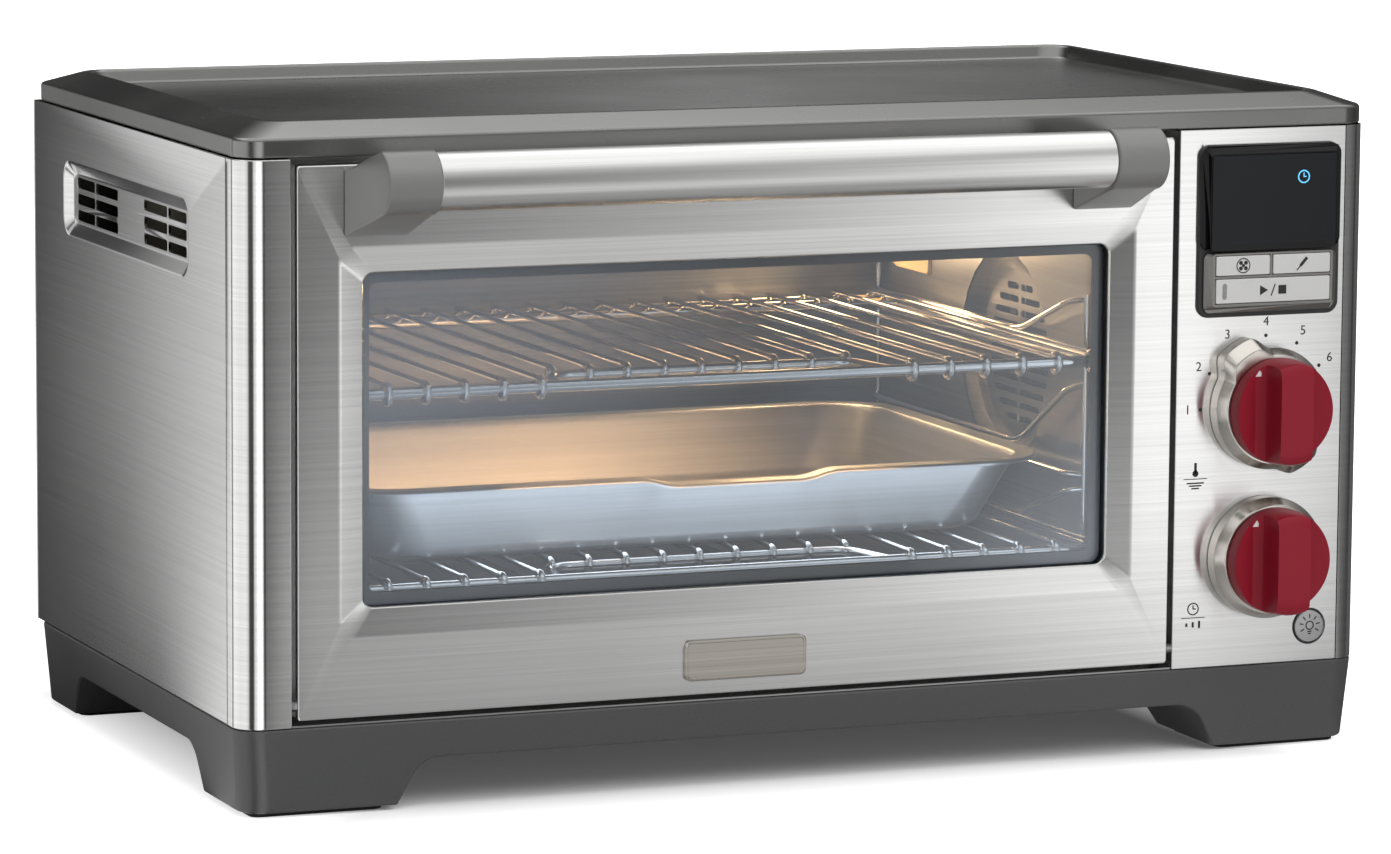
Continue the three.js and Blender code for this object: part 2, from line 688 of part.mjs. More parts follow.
// The bushing that the supply lead would leave by
add('cord_bushing', turnedForward([
  [GLAND_HOLE, -BODY_DEPTH - 6], [GLAND_RADIUS - 1, -BODY_DEPTH - 6], [GLAND_RADIUS + 3, -BODY_DEPTH - 4],
  [GLAND_RADIUS + 3, -BODY_DEPTH - FIT], [GLAND_RADIUS, -BODY_DEPTH - FIT], [GLAND_RADIUS, -BACK_FACE + 8],
  [GLAND_HOLE, -BACK_FACE + 8], [GLAND_HOLE, -BODY_DEPTH - 6],
], GLAND_X, GLAND_Z, 14), blackPlastic);

for (const [name, x] of [['left_wall_spacer', -HALF_WIDTH + SPACER_IN],
  ['right_wall_spacer', HALF_WIDTH - SPACER_IN]]) {
  const root = -BODY_DEPTH - FIT;
  add(name, turnedForward([
    [0, root], [SPACER_RADIUS * 1.6, root], [SPACER_RADIUS * 1.6, root - 2], [SPACER_RADIUS, root - 4],
    [SPACER_RADIUS * 0.8, root - SPACER_LENGTH + FIT + 2], [SPACER_RADIUS * 0.6, root - SPACER_LENGTH + FIT],
    [0, root - SPACER_LENGTH + FIT],
  ], x, SHELL_TOP - SPACER_DOWN, 14), blackPlastic);
}

function topCover() {
  const [half, front, back] = [HALF_WIDTH - COVER_INSET, COVER_INSET, BODY_DEPTH - COVER_INSET];
  const outline = (inset) => outlinePoints(-half + inset, half - inset, front + inset, back - inset,
    CORNER_RADIUS);
  const outer = loft([
    atHeight(outline(0), COVER_BOTTOM),
    atHeight(outline(0), COVER_BOTTOM + COVER_BAND),
    atHeight(outline(COVER_BEVEL), COVER_TOP),
  ]);
  const crest = COVER_BEVEL + COVER_CREST;
  const floor = COVER_TOP - TRAY_DEPTH;
  const tray = loft([
    atHeight(outline(crest + TRAY_SLOPE), floor),
    atHeight(outline(crest), COVER_TOP),
    atHeight(outline(crest), COVER_TOP + 1),
  ]);
  const hollow = upright(roundedShape(-half + COVER_WALL, half - COVER_WALL, front + COVER_WALL,
    back - COVER_WALL, CORNER_RADIUS - COVER_WALL), COVER_BOTTOM - 1, floor - COVER_WALL);
  return cut(outer, tray, hollow);
}

add('top_cover', topCover(), graphite);

// ---------------------------------------------------------------- front frame, cavity and lagging

add('front_frame', cut(
  block(FLANGE_EDGE - SHEET - 8, PANEL_LEFT + PANEL_SHEET + 8, FRAME_FRONT, FRAME_BACK,
    FLOOR_TOP + FIT, SHELL_TOP - FIT),
  block(CAVITY_LEFT, CAVITY_RIGHT, FRAME_FRONT - 1, FRAME_BACK + 1, CAVITY_BOTTOM, CAVITY_TOP),
), plainSteel);

function doorSeal() {
  const outline = (grow) => roundedShape(CAVITY_LEFT - grow, CAVITY_RIGHT + grow, CAVITY_BOTTOM - grow,
    CAVITY_TOP + grow, grow);
  const [front, back] = [DOOR_THICKNESS + FIT, FRAME_FRONT - FIT];
  return cut(fromFront(outline(SEAL_WIDTH + FIT), front, back, 3),
    fromFront(outline(FIT), front - 1, back + 1, 1));
}

add('door_seal', doorSeal(), rubber);

const FAN_Z = SHELL_BOTTOM + FAN_UP;
const LAMP_Z = CAVITY_TOP - LAMP_DROP;
const WALL_OUTSIDE = CAVITY_RIGHT + CAVITY_SHEET;
const UPPER_ELEMENT_Z = CAVITY_TOP - ELEMENT_DROP;
const LOWER_ELEMENT_Z = CAVITY_BOTTOM + ELEMENT_RISE;
const ELEMENT_LEFT = CAVITY_LEFT + ELEMENT_SIDE_GAP;
const ELEMENT_RIGHT = CAVITY_RIGHT - ELEMENT_SIDE_GAP;
const SENSOR_X = CAVITY_RIGHT - SENSOR_IN;
const SENSOR_Y = CAVITY_BACK - SENSOR_RADIUS - FIT;

function cavityLiner() {
  const outer = block(CAVITY_LEFT - CAVITY_SHEET, CAVITY_RIGHT + CAVITY_SHEET, CAVITY_FRONT,
    CAVITY_BACK + CAVITY_SHEET, CAVITY_BOTTOM - CAVITY_SHEET, CAVITY_TOP + CAVITY_SHEET);
  const inner = block(CAVITY_LEFT, CAVITY_RIGHT, CAVITY_FRONT - 1, CAVITY_BACK, CAVITY_BOTTOM, CAVITY_TOP);
  const fanHole = barAlongX(CAVITY_RIGHT - 1, WALL_OUTSIDE + 1, FAN_BACK, FAN_Z, DISH_RADIUS, 24);
  const lampHole = block(CAVITY_RIGHT - 1, WALL_OUTSIDE + 1, LAMP_BACK - LAMP_WIDTH / 2,
    LAMP_BACK + LAMP_WIDTH / 2, LAMP_Z - LAMP_HEIGHT / 2, LAMP_Z + LAMP_HEIGHT / 2);
  const leadHoles = [];
  for (const z of [UPPER_ELEMENT_Z, LOWER_ELEMENT_Z]) {
    for (const x of [ELEMENT_LEFT, ELEMENT_RIGHT]) {
      leadHoles.push(barAlongY(x, z, CAVITY_BACK - 1, CAVITY_BACK + CAVITY_SHEET + 1,
        ELEMENT_RADIUS + FIT, 8));
    }
  }
  return cut(outer, inner, fanHole, lampHole, ...leadHoles);
}

add('cavity_liner', cavityLiner(), cavitySteel);

// Mineral wool over the top, the left side and the underside of the cavity
function blanket() {
  const near = CAVITY_SHEET + FIT;
  const far = near + BLANKET_THICKNESS;
  const [right, back] = [CAVITY_RIGHT - ELEMENT_SIDE_GAP, CAVITY_BACK];
  const shape = polygon([
    [right, CAVITY_BOTTOM - far], [right, CAVITY_BOTTOM - near], [CAVITY_LEFT - near, CAVITY_BOTTOM - near],
    [CAVITY_LEFT - near, CAVITY_TOP + near], [right, CAVITY_TOP + near], [right, CAVITY_TOP + far],
    [CAVITY_LEFT - far, CAVITY_TOP + far], [CAVITY_LEFT - far, CAVITY_BOTTOM - far],
  ]);
  return fromFront(shape, CAVITY_FRONT + BLANKET_THICKNESS, back);
}

add('insulation_blanket', blanket(), wool);

// ---------------------------------------------------------------- heating elements

// A sheathed rod: in through the back wall, forward, twice across in long loops, and out again
function element(z) {
  const front = CAVITY_FRONT + ELEMENT_FRONT_GAP;
  const back = CAVITY_BACK - ELEMENT_FRONT_GAP;
  const third = (ELEMENT_RIGHT - ELEMENT_LEFT) / 3;
  const columns = [0, 1, 2, 3].map((i) => ELEMENT_LEFT + i * third);
  const out = CAVITY_BACK + CAVITY_SHEET + TERMINAL_LENGTH;
  const bend = ELEMENT_BEND;
  const corner = bend * (1 - Math.SQRT1_2);
  const points = [[columns[0], out, z]];
  for (let i = 0; i < 3; i += 1) {
    const y = i % 2 === 0 ? front : back;
    const inward = i % 2 === 0 ? 1 : -1;
    const [x, next] = [columns[i], columns[i + 1]];
    points.push([x, y + inward * bend, z], [x + corner, y + inward * corner, z], [x + bend, y, z]);
    points.push([next - bend, y, z], [next - corner, y + inward * corner, z], [next, y + inward * bend, z]);
  }
  points.push([columns[3], out, z]);
  return wire(points, ELEMENT_RADIUS, 6);
}

add('upper_heating_element', element(UPPER_ELEMENT_Z), plainSteel);
add('lower_heating_element', element(LOWER_ELEMENT_Z), plainSteel);

// ---------------------------------------------------------------- fan

const DISH_BACK = WALL_OUTSIDE + DISH_DEPTH;

// A dished grille pressed out of the wall, with a central bar between two columns of slots
function fanCover() {
  const rim = WALL_OUTSIDE + FIT;
  const face = rim + DISH_DEPTH;
  const plate = turnedAlongX([
    [0, face], [DISH_FACE_RADIUS, face], [DISH_RADIUS - FIT, rim], [DISH_RADIUS + DISH_FLANGE, rim],
    [DISH_RADIUS + DISH_FLANGE, rim + CAVITY_SHEET], [DISH_RADIUS, rim + CAVITY_SHEET],
    [DISH_FACE_RADIUS, face + CAVITY_SHEET], [0, face + CAVITY_SHEET],
  ], FAN_BACK, FAN_Z, 24);
  const reach = DISH_FACE_RADIUS - FAN_SLOT_HEIGHT;
  const rows = Math.floor(reach / FAN_SLOT_PITCH);
  const slots = [];
  for (let row = -rows; row <= rows; row += 1) {
    const z = row * FAN_SLOT_PITCH;
    const half = Math.sqrt(reach * reach - z * z) - FAN_SLOT_HEIGHT;
    if (half < 3 * FAN_SLOT_BAR) continue;
    for (const side of [-1, 1]) {
      const y = [FAN_BACK + side * FAN_SLOT_BAR / 2, FAN_BACK + side * half].sort((a, b) => a - b);
      slots.push(block(face - 1, face + CAVITY_SHEET + 1, ...y,
        FAN_Z + z - FAN_SLOT_HEIGHT / 2, FAN_Z + z + FAN_SLOT_HEIGHT / 2));
    }
  }
  return cut(plate, ...slots);
}

add('fan_cover', fanCover(), cavitySteel);

const HOUSING_FRONT = DISH_BACK + 2 * FIT + CAVITY_SHEET;
const IMPELLER_FRONT = HOUSING_FRONT + 2;
const HOUSING_BACK = IMPELLER_FRONT + IMPELLER_WIDTH + 3;
const MOTOR_FRONT = HOUSING_BACK + HOUSING_WALL + FIT;

// A can behind the grille that gathers the fan's air, flanged to the wall
add('fan_housing', turnedAlongX([
  [FAN_SHAFT_RADIUS + RUNNING_GAP, HOUSING_BACK], [DISH_RADIUS + 1, HOUSING_BACK],
  [DISH_RADIUS + 1, WALL_OUTSIDE + CAVITY_SHEET + 2 * FIT],
  [DISH_RADIUS + DISH_FLANGE, WALL_OUTSIDE + CAVITY_SHEET + 2 * FIT],
  [DISH_RADIUS + DISH_FLANGE, WALL_OUTSIDE + CAVITY_SHEET + 2 * FIT + HOUSING_WALL],
  [DISH_RADIUS + 1 + HOUSING_WALL, WALL_OUTSIDE + CAVITY_SHEET + 2 * FIT + HOUSING_WALL],
  [DISH_RADIUS + 1 + HOUSING_WALL, HOUSING_BACK + HOUSING_WALL],
  [FAN_SHAFT_RADIUS + RUNNING_GAP, HOUSING_BACK + HOUSING_WALL],
  [FAN_SHAFT_RADIUS + RUNNING_GAP, HOUSING_BACK],
], FAN_BACK, FAN_Z, 20), plainSteel);

function impeller() {
  const back = IMPELLER_FRONT + IMPELLER_WIDTH;
  const hubAndShaft = turnedAlongX([
    [0, IMPELLER_FRONT + 2], [2 * FAN_SHAFT_RADIUS, IMPELLER_FRONT + 2], [2 * FAN_SHAFT_RADIUS, back - 1],
    [IMPELLER_RADIUS, back - 1], [IMPELLER_RADIUS, back], [FAN_SHAFT_RADIUS, back],
    [FAN_SHAFT_RADIUS, MOTOR_FRONT + 5], [0, MOTOR_FRONT + 5],
  ], FAN_BACK, FAN_Z, 14);
  const blades = Array.from({ length: IMPELLER_BLADES }, (_, i) => {
    const blade = block(IMPELLER_FRONT, back - 0.5, -0.5, 0.5, IMPELLER_RADIUS * 0.45, IMPELLER_RADIUS - 0.5);
    const lean = new THREE.Matrix4().makeRotationX(2 * Math.PI * i / IMPELLER_BLADES);
    return blade.applyMatrix4(lean).translate(0, FAN_BACK, FAN_Z);
  });
  return join(hubAndShaft, ...blades);
}

add('fan_impeller', impeller(), plainSteel);

add('fan_motor', turnedAlongX([
  [FAN_SHAFT_RADIUS + RUNNING_GAP, MOTOR_FRONT], [MOTOR_RADIUS * 0.5, MOTOR_FRONT],
  [MOTOR_RADIUS * 0.6, MOTOR_FRONT + 4], [MOTOR_RADIUS, MOTOR_FRONT + 4],
  [MOTOR_RADIUS, MOTOR_FRONT + MOTOR_LENGTH - 4], [MOTOR_RADIUS * 0.6, MOTOR_FRONT + MOTOR_LENGTH],
  [0, MOTOR_FRONT + MOTOR_LENGTH], [0, MOTOR_FRONT + 6], [FAN_SHAFT_RADIUS + RUNNING_GAP, MOTOR_FRONT + 6],
  [FAN_SHAFT_RADIUS + RUNNING_GAP, MOTOR_FRONT],
], FAN_BACK, FAN_Z, 16), darkMetal);

// ---------------------------------------------------------------- oven lamp and sensor

const LAMP_FRONT = LAMP_BACK - LAMP_WIDTH / 2;
const LAMP_REAR = LAMP_BACK + LAMP_WIDTH / 2;
const LAMP_LOW = LAMP_Z - LAMP_HEIGHT / 2;
const LAMP_HIGH = LAMP_Z + LAMP_HEIGHT / 2;

add('lamp_lens', fromSide(roundedShape(LAMP_FRONT + FIT, LAMP_REAR - FIT, LAMP_LOW + FIT, LAMP_HIGH - FIT, 3),
  CAVITY_RIGHT - LENS_THICKNESS / 2, CAVITY_RIGHT + LENS_THICKNESS / 2, 2), lampGlass);

const LAMP_BOX_START = WALL_OUTSIDE + FIT;
const LAMP_BOX_END = LAMP_BOX_START + LAMP_BOX_DEPTH;
add('lamp_housing', cut(
  block(LAMP_BOX_START, LAMP_BOX_END, LAMP_FRONT - 3, LAMP_REAR + 3, LAMP_LOW - 3, LAMP_HIGH + 3),
  block(LAMP_BOX_START - 1, LAMP_BOX_END - 2, LAMP_FRONT - 1, LAMP_REAR + 1, LAMP_LOW - 1, LAMP_HIGH + 1),
), plainSteel);

add('lamp_bulb', turnedAlongX([
  [0, LAMP_BOX_START + 4], [3, LAMP_BOX_START + 5], [5, LAMP_BOX_START + 8], [5, LAMP_BOX_START + 15],
  [3.5, LAMP_BOX_START + 18], [3.5, LAMP_BOX_END - 2 - FIT], [0, LAMP_BOX_END - 2 - FIT],
], LAMP_BACK, LAMP_Z, 10), lampGlass);

add('temperature_sensor', join(
  wire([[SENSOR_X, SENSOR_Y, CAVITY_TOP - FIT], [SENSOR_X, SENSOR_Y, CAVITY_TOP - SENSOR_LENGTH]],
    SENSOR_RADIUS, 10),
  block(SENSOR_X - 1.5 * SENSOR_RADIUS, SENSOR_X + SENSOR_CLIP, SENSOR_Y - SENSOR_RADIUS / 2,
    CAVITY_BACK - FIT, CAVITY_TOP - SENSOR_CLIP_DROP - SENSOR_CLIP, CAVITY_TOP - SENSOR_CLIP_DROP),
), chrome);

// ---------------------------------------------------------------- racks and their guides

const RACK_FRONT_Y = DOOR_THICKNESS + RACK_FRONT + WIRE + RAIL;
const RACK_BACK_Y = CAVITY_BACK - RACK_BACK_GAP;
const RACK_LEFT = CAVITY_LEFT + RACK_SIDE_GAP;
const RACK_RIGHT = CAVITY_RIGHT - RACK_SIDE_GAP;
const WIRE_PITCH = (RACK_RIGHT - RACK_LEFT) / (RACK_WIRES - 1);
const WIRE_FLAT = WIRE * Math.cos(Math.PI / 4);       // wires have four flat sides, rails have six
const RAIL_FLAT = RAIL * Math.cos(Math.PI / 6);
const WIRE_OVER_RAIL = RAIL_FLAT + WIRE_FLAT - WELD;

// A chromed rack: thin wires hooked over a thick front rail, with a hand hold in the middle
function rack(up) {
  const plane = SHELL_BOTTOM + up;
  const [left, right] = [RACK_LEFT - SIDE_RAIL_OUT, RACK_RIGHT + SIDE_RAIL_OUT];
  const wireZ = plane + WIRE_OVER_RAIL;
  const gripFirst = (RACK_WIRES - GRIP_WIRES) / 2;
  const gripLast = gripFirst + GRIP_WIRES - 1;
  const pieces = [];
  const hook = RAIL + WIRE + HOOK_GAP;
  for (let i = 0; i < RACK_WIRES; i += 1) {
    const x = RACK_LEFT + i * WIRE_PITCH;
    const inGrip = i >= gripFirst && i <= gripLast;
    const y = RACK_FRONT_Y + (inGrip ? GRIP_SETBACK : 0);
    pieces.push(wire([
      [x, RACK_BACK_Y + RAIL, wireZ], [x, y - RAIL / 2, wireZ], [x, y - hook, plane],
      [x, y - hook / 2, plane - hook * 0.87],
    ], WIRE));
  }
  const gripLeft = RACK_LEFT + (gripFirst - 0.5) * WIRE_PITCH;
  const gripRight = RACK_LEFT + (gripLast + 0.5) * WIRE_PITCH;
  const gripBend = [[0, 0], [0.25, 1], [0.5, GRIP_SETBACK / GRIP_BEND - 0.6], [1, GRIP_SETBACK / GRIP_BEND]];
  const gripEnd = (x, inward) => gripBend.map(([across, back]) => [
    x + inward * across * GRIP_BEND, RACK_FRONT_Y + back * GRIP_BEND, plane]);
  pieces.push(wire([...gripEnd(gripLeft, 1), ...gripEnd(gripRight, -1).reverse()], GRIP_ROD, 6));
  for (const y of [RACK_FRONT_Y, RACK_BACK_Y - WIRE_PITCH, RACK_BACK_Y]) {
    pieces.push(wire([[left, y, plane], [right, y, plane]], RAIL, 6));
  }
  for (const x of [left, right]) {
    pieces.push(wire([[x, RACK_FRONT_Y, plane], [x, RACK_BACK_Y, plane]], SIDE_RAIL, 6));
  }
  return join(...pieces);
}

add('upper_rack', rack(UPPER_RACK_UP), chrome);
add('lower_rack', rack(LOWER_RACK_UP), chrome);

// A wire ladder on a side wall: each level has a rail to rest on and one over it that stops a tilt
function guide(side) {
  const wall = side < 0 ? CAVITY_LEFT : CAVITY_RIGHT;
  const x = wall - side * (GUIDE_WALL_GAP + WIRE);
  const inner = wall - side * (RACK_SIDE_GAP - SIDE_RAIL_OUT);
  const front = CAVITY_FRONT + GUIDE_FRONT_BACK;
  const bend = CAVITY_FRONT + GUIDE_FRONT_BACK + GUIDE_BEND_BACK;
  const back = CAVITY_BACK - 2 * WIRE;
  const levels = [LOWER_RACK_UP, MIDDLE_LEVEL_UP, UPPER_RACK_UP].map((up) => SHELL_BOTTOM + up);
  const pieces = [];
  const [foot, head] = [levels[0] - RAIL * 4, levels[2] + GUIDE_RISE + RAIL * 3];
  for (const y of [front, back - WIRE]) {
    pieces.push(wire([[x, y, foot], [x, y, head]], WIRE * 1.1));
    for (const z of [foot + 2, head - 2]) {
      pieces.push(wire([[x, y, z], [wall - side * FIT, y, z]], WIRE * 1.3));
    }
  }
  for (const z of levels) {
    const rest = z - RAIL_FLAT - WIRE_FLAT - FIT;
    const over = z + RAIL + WIRE + RUNNING_GAP;
    pieces.push(wire([[x, front, rest], [inner, front + GUIDE_CRANK, rest],
      [inner, back - GUIDE_CRANK, rest], [x, back - WIRE, rest]], WIRE));
    pieces.push(wire([[x, front, over + GUIDE_RISE], [inner, front + GUIDE_CRANK, over + GUIDE_RISE * 0.8],
      [inner, bend, over], [inner, back - GUIDE_CRANK, over], [x, back - WIRE, over]], WIRE));
  }
  return join(...pieces);
}

add('left_rack_guide', guide(-1), chrome);
add('right_rack_guide', guide(1), chrome);

// ---------------------------------------------------------------- baking pan and crumb tray

const PAN_BOTTOM = SHELL_BOTTOM + LOWER_RACK_UP + WIRE_OVER_RAIL + WIRE_FLAT + FIT;

// A pressed pan with sloping walls and a flat rim, dipped at the front and back for the fingers
function bakingPan() {
  const [x0, x1] = [DOOR_MIDDLE - PAN_WIDTH / 2, DOOR_MIDDLE + PAN_WIDTH / 2];
  const y0 = RACK_FRONT_Y + PAN_FRONT_BACK;
  const y1 = y0 + PAN_DEPTH;
  const top = PAN_BOTTOM + PAN_HEIGHT;
  const outline = (inset, radius) => outlinePoints(x0 + inset, x1 - inset, y0 + inset, y1 - inset, radius, 5);
  const mouth = PAN_RIM;
  const foot = PAN_RIM + PAN_TAPER;
  const body = loft([
    atHeight(outline(foot + 4, PAN_RADIUS - 12), PAN_BOTTOM),
    atHeight(outline(foot, PAN_RADIUS - 9), PAN_BOTTOM + 4),
    atHeight(outline(mouth, PAN_RADIUS - PAN_RIM), top),
  ]);
  const rim = loft([
    atHeight(outline(0, PAN_RADIUS), top - PAN_SHEET), atHeight(outline(0, PAN_RADIUS), top),
  ]);
  const inside = loft([
    atHeight(outline(foot + 4, PAN_RADIUS - 12), PAN_BOTTOM + PAN_SHEET),
    atHeight(outline(foot + PAN_SHEET, PAN_RADIUS - 9 - PAN_SHEET), PAN_BOTTOM + 4 + PAN_SHEET),
    atHeight(outline(mouth + PAN_SHEET, PAN_RADIUS - PAN_RIM - PAN_SHEET), top + FIT),
  ]);
  const half = PAN_GRIP_WIDTH / 2;
  const dipShape = (lower, raise) => polygon([
    [DOOR_MIDDLE - half, top + raise], [DOOR_MIDDLE - half * 0.8, top - lower],
    [DOOR_MIDDLE + half * 0.8, top - lower], [DOOR_MIDDLE + half, top + raise],
  ]);
  const dips = [];
  const lips = [];
  for (const [near, far] of [[y0, y0 + PAN_RIM + PAN_SHEET], [y1 - PAN_RIM - PAN_SHEET, y1]]) {
    lips.push(fromFront(dipShape(PAN_GRIP_DIP + PAN_SHEET, -PAN_SHEET / 2), near, far));
    dips.push(fromFront(dipShape(PAN_GRIP_DIP, FIT), near - 1, far + 1));
  }
  return cut(join(body, rim, ...lips), inside, ...dips);
}

add('baking_pan', bakingPan(), panSteel);

function crumbTray() {
  const [x0, x1] = [CAVITY_LEFT + CRUMB_SIDE_GAP, CAVITY_RIGHT - CRUMB_SIDE_GAP];
  const [y0, y1] = [DOOR_THICKNESS + CRUMB_FRONT, CAVITY_BACK - CRUMB_BACK_GAP];
  const z = CAVITY_BOTTOM + FIT;
  const tray = block(x0, x1, y0, y1, z, z + CRUMB_HEIGHT);
  const inside = block(x0 + CRUMB_SHEET, x1 - CRUMB_SHEET, y0 + CRUMB_SHEET, y1 - CRUMB_SHEET,
    z + CRUMB_SHEET, z + CRUMB_HEIGHT + 1);
  return cut(tray, inside);
}

add('crumb_tray', crumbTray(), plainSteel);

// ---------------------------------------------------------------- door

function doorSkin() {
  const skinBack = DOOR_THICKNESS - SHEET - FIT;
  const edge = roundedShape(DOOR_LEFT, DOOR_RIGHT, DOOR_BOTTOM, DOOR_TOP, DOOR_RADIUS);
  const outer = fromFront(edge, 0, skinBack, 2);
  const inner = block(DOOR_LEFT + SHEET, DOOR_RIGHT - SHEET, SHEET, skinBack + 1, DOOR_BOTTOM + SHEET,
    DOOR_TOP - SHEET);
  const outline = (inset, radius) => outlinePoints(DOOR_LEFT + BEZEL_SIDE + inset,
    DOOR_RIGHT - BEZEL_SIDE - inset, DOOR_BOTTOM + BEZEL_END + inset, DOOR_TOP - BEZEL_END - inset, radius);
  const slopePerDepth = BEZEL_SLOPE / BEZEL_DEPTH;
  const funnel = loft([
    atDepth(outline(-SHEET, BEZEL_RADIUS), SHEET / 2),
    atDepth(outline(BEZEL_SLOPE - SHEET, WINDOW_RADIUS), BEZEL_DEPTH),
    atDepth(outline(BEZEL_SLOPE - SHEET, WINDOW_RADIUS), BEZEL_DEPTH + SHEET),
  ]);
  const opening = loft([
    atDepth(outline(-slopePerDepth, BEZEL_RADIUS), -1),
    atDepth(outline(BEZEL_SLOPE, WINDOW_RADIUS), BEZEL_DEPTH),
    atDepth(outline(BEZEL_SLOPE, WINDOW_RADIUS), BEZEL_DEPTH + 2 * SHEET),
  ]);
  const pinHoles = barAlongX(DOOR_LEFT - 1, DOOR_RIGHT + 1, HINGE_Y, HINGE_Z, HINGE_PIN_RADIUS + FIT, 12);
  return cut(join(cut(outer, inner), funnel), opening, pinHoles);
}

add('door_skin', doorSkin(), brushedSteel);

const WINDOW = {
  left: DOOR_LEFT + BEZEL_SIDE + BEZEL_SLOPE,
  right: DOOR_RIGHT - BEZEL_SIDE - BEZEL_SLOPE,
  bottom: DOOR_BOTTOM + BEZEL_END + BEZEL_SLOPE,
  top: DOOR_TOP - BEZEL_END - BEZEL_SLOPE,
};

function pane(lap, y0, y1) {
  return fromFront(roundedShape(WINDOW.left - lap, WINDOW.right + lap, WINDOW.bottom - lap, WINDOW.top + lap,
    WINDOW_RADIUS), y0, y1, 3);
}

const OUTER_GLASS_FRONT = BEZEL_DEPTH + SHEET + FIT;
const INNER_GLASS_BACK = DOOR_THICKNESS - SHEET - FIT;
add('outer_glass', pane(GLASS_LAP, OUTER_GLASS_FRONT, OUTER_GLASS_FRONT + GLASS_THICKNESS), glass);
add('inner_glass', pane(INNER_GLASS_LAP, INNER_GLASS_BACK - GLASS_THICKNESS, INNER_GLASS_BACK), glass);

add('door_inner_frame', cut(
  fromFront(roundedShape(DOOR_LEFT, DOOR_RIGHT, DOOR_BOTTOM, DOOR_TOP, DOOR_RADIUS),
    DOOR_THICKNESS - SHEET, DOOR_THICKNESS, 2),
  fromFront(roundedShape(WINDOW.left - FIT, WINDOW.right + FIT, WINDOW.bottom - FIT, WINDOW.top + FIT,
    WINDOW_RADIUS), DOOR_THICKNESS - SHEET - 1, DOOR_THICKNESS + 1, 3),
), plainSteel);

const badgeShape = roundedShape(DOOR_MIDDLE - BADGE_WIDTH / 2, DOOR_MIDDLE + BADGE_WIDTH / 2,
  DOOR_BOTTOM + BADGE_UP, DOOR_BOTTOM + BADGE_UP + BADGE_HEIGHT, BADGE_RADIUS);
add('badge_plate', fromFront(badgeShape, -FIT - BADGE_RISE, -FIT, 3), nickel);

// ---------------------------------------------------------------- handle

const BAR_Y = -BAR_REACH;
const BAR_Z = DOOR_TOP - BAR_DROP;
const CAP_OUTSIDE = DOOR_LEFT + CAP_END_GAP;
const CAP_INSIDE = CAP_OUTSIDE + CAP_LENGTH;
const BAR_LEFT = CAP_INSIDE + FIT;

add('handle_bar', barAlongX(BAR_LEFT, 2 * DOOR_MIDDLE - BAR_LEFT, BAR_Y, BAR_Z, BAR_RADIUS, 28),
  brushedSteel);

// A cast bracket, round at the bar and a flat foot at the door; its side profile meets a tapered plan
function bracket() {
  const footTop = DOOR_TOP - FOOT_DROP;
  const footBottom = footTop - FOOT_HEIGHT;
  const profile = new THREE.Shape();
  profile.moveTo(-FIT, footBottom);
  profile.lineTo(-FIT, footTop);
  profile.lineTo(BAR_Y * 0.45, BAR_Z + CAP_RADIUS - 1);
  profile.absarc(BAR_Y, BAR_Z, CAP_RADIUS, 0.5 * Math.PI, 1.55 * Math.PI, false);
  const foot = DOOR_LEFT + FOOT_END_GAP;
  const plan = polygon([
    [foot, 0], [foot + FOOT_WIDTH, 0], [CAP_INSIDE, BAR_Y * 0.45], [CAP_INSIDE, BAR_Y - CAP_RADIUS - 1],
    [CAP_OUTSIDE, BAR_Y - CAP_RADIUS - 1], [CAP_OUTSIDE, BAR_Y * 0.7],
  ]);
  return common(fromSide(profile, foot - 1, foot + FOOT_WIDTH + 1, 14),
    upright(plan, footBottom - 1, BAR_Z + CAP_RADIUS + 1));
}

const leftBracket = bracket();
add('left_handle_bracket', leftBracket, graphite);
add('right_handle_bracket', mirrored(leftBracket).translate(2 * DOOR_MIDDLE, 0, 0), graphite);

// ---------------------------------------------------------------- hinges

// A block in the front corner of the case with the pin that the door turns on
function hingeBlock(faceX, side) {
  const back = faceX + side * 10;
  const body = block(Math.min(faceX, back), Math.max(faceX, back), PANEL_SHEET + 2 * FIT, RETURN_DEPTH - 1,
    FLOOR_TOP + FIT, HINGE_Z + 8);
  const tip = faceX - side * (SHEET + DOOR_GAP + HINGE_PIN_REACH);
  const pin = barAlongX(Math.min(tip, back), Math.max(tip, back), HINGE_Y, HINGE_Z, HINGE_PIN_RADIUS, 12);
  return join(body, pin);
}

add('left_hinge_block', hingeBlock(FLANGE_EDGE - SHEET - FIT, -1), plainSteel);
add('right_hinge_block', hingeBlock(PANEL_LEFT + PANEL_SHEET + FIT, 1), plainSteel);

// ---------------------------------------------------------------- control panel

const MODULE_LEFT = CONTROL_X - MODULE_WIDTH / 2;
const MODULE_RIGHT = CONTROL_X + MODULE_WIDTH / 2;
const UPPER_KNOB_Z = SHELL_BOTTOM + UPPER_KNOB_UP;
const LOWER_KNOB_Z = SHELL_BOTTOM + LOWER_KNOB_UP;
const MODULE_TOP = SHELL_TOP - MODULE_TOP_GAP;
const MODULE_BOTTOM = UPPER_KNOB_Z + DISPLAY_OVER_KNOB;
const KEY_TOP = MODULE_BOTTOM + KEY_BLOCK_HEIGHT;
const SOCKET = KEY_BLOCK_INSET + KEY_BLOCK_BEVEL;
const LIGHT_X = PANEL_RIGHT - LIGHT_BUTTON_RIGHT;
const LIGHT_Z = SHELL_BOTTOM + LIGHT_BUTTON_UP;

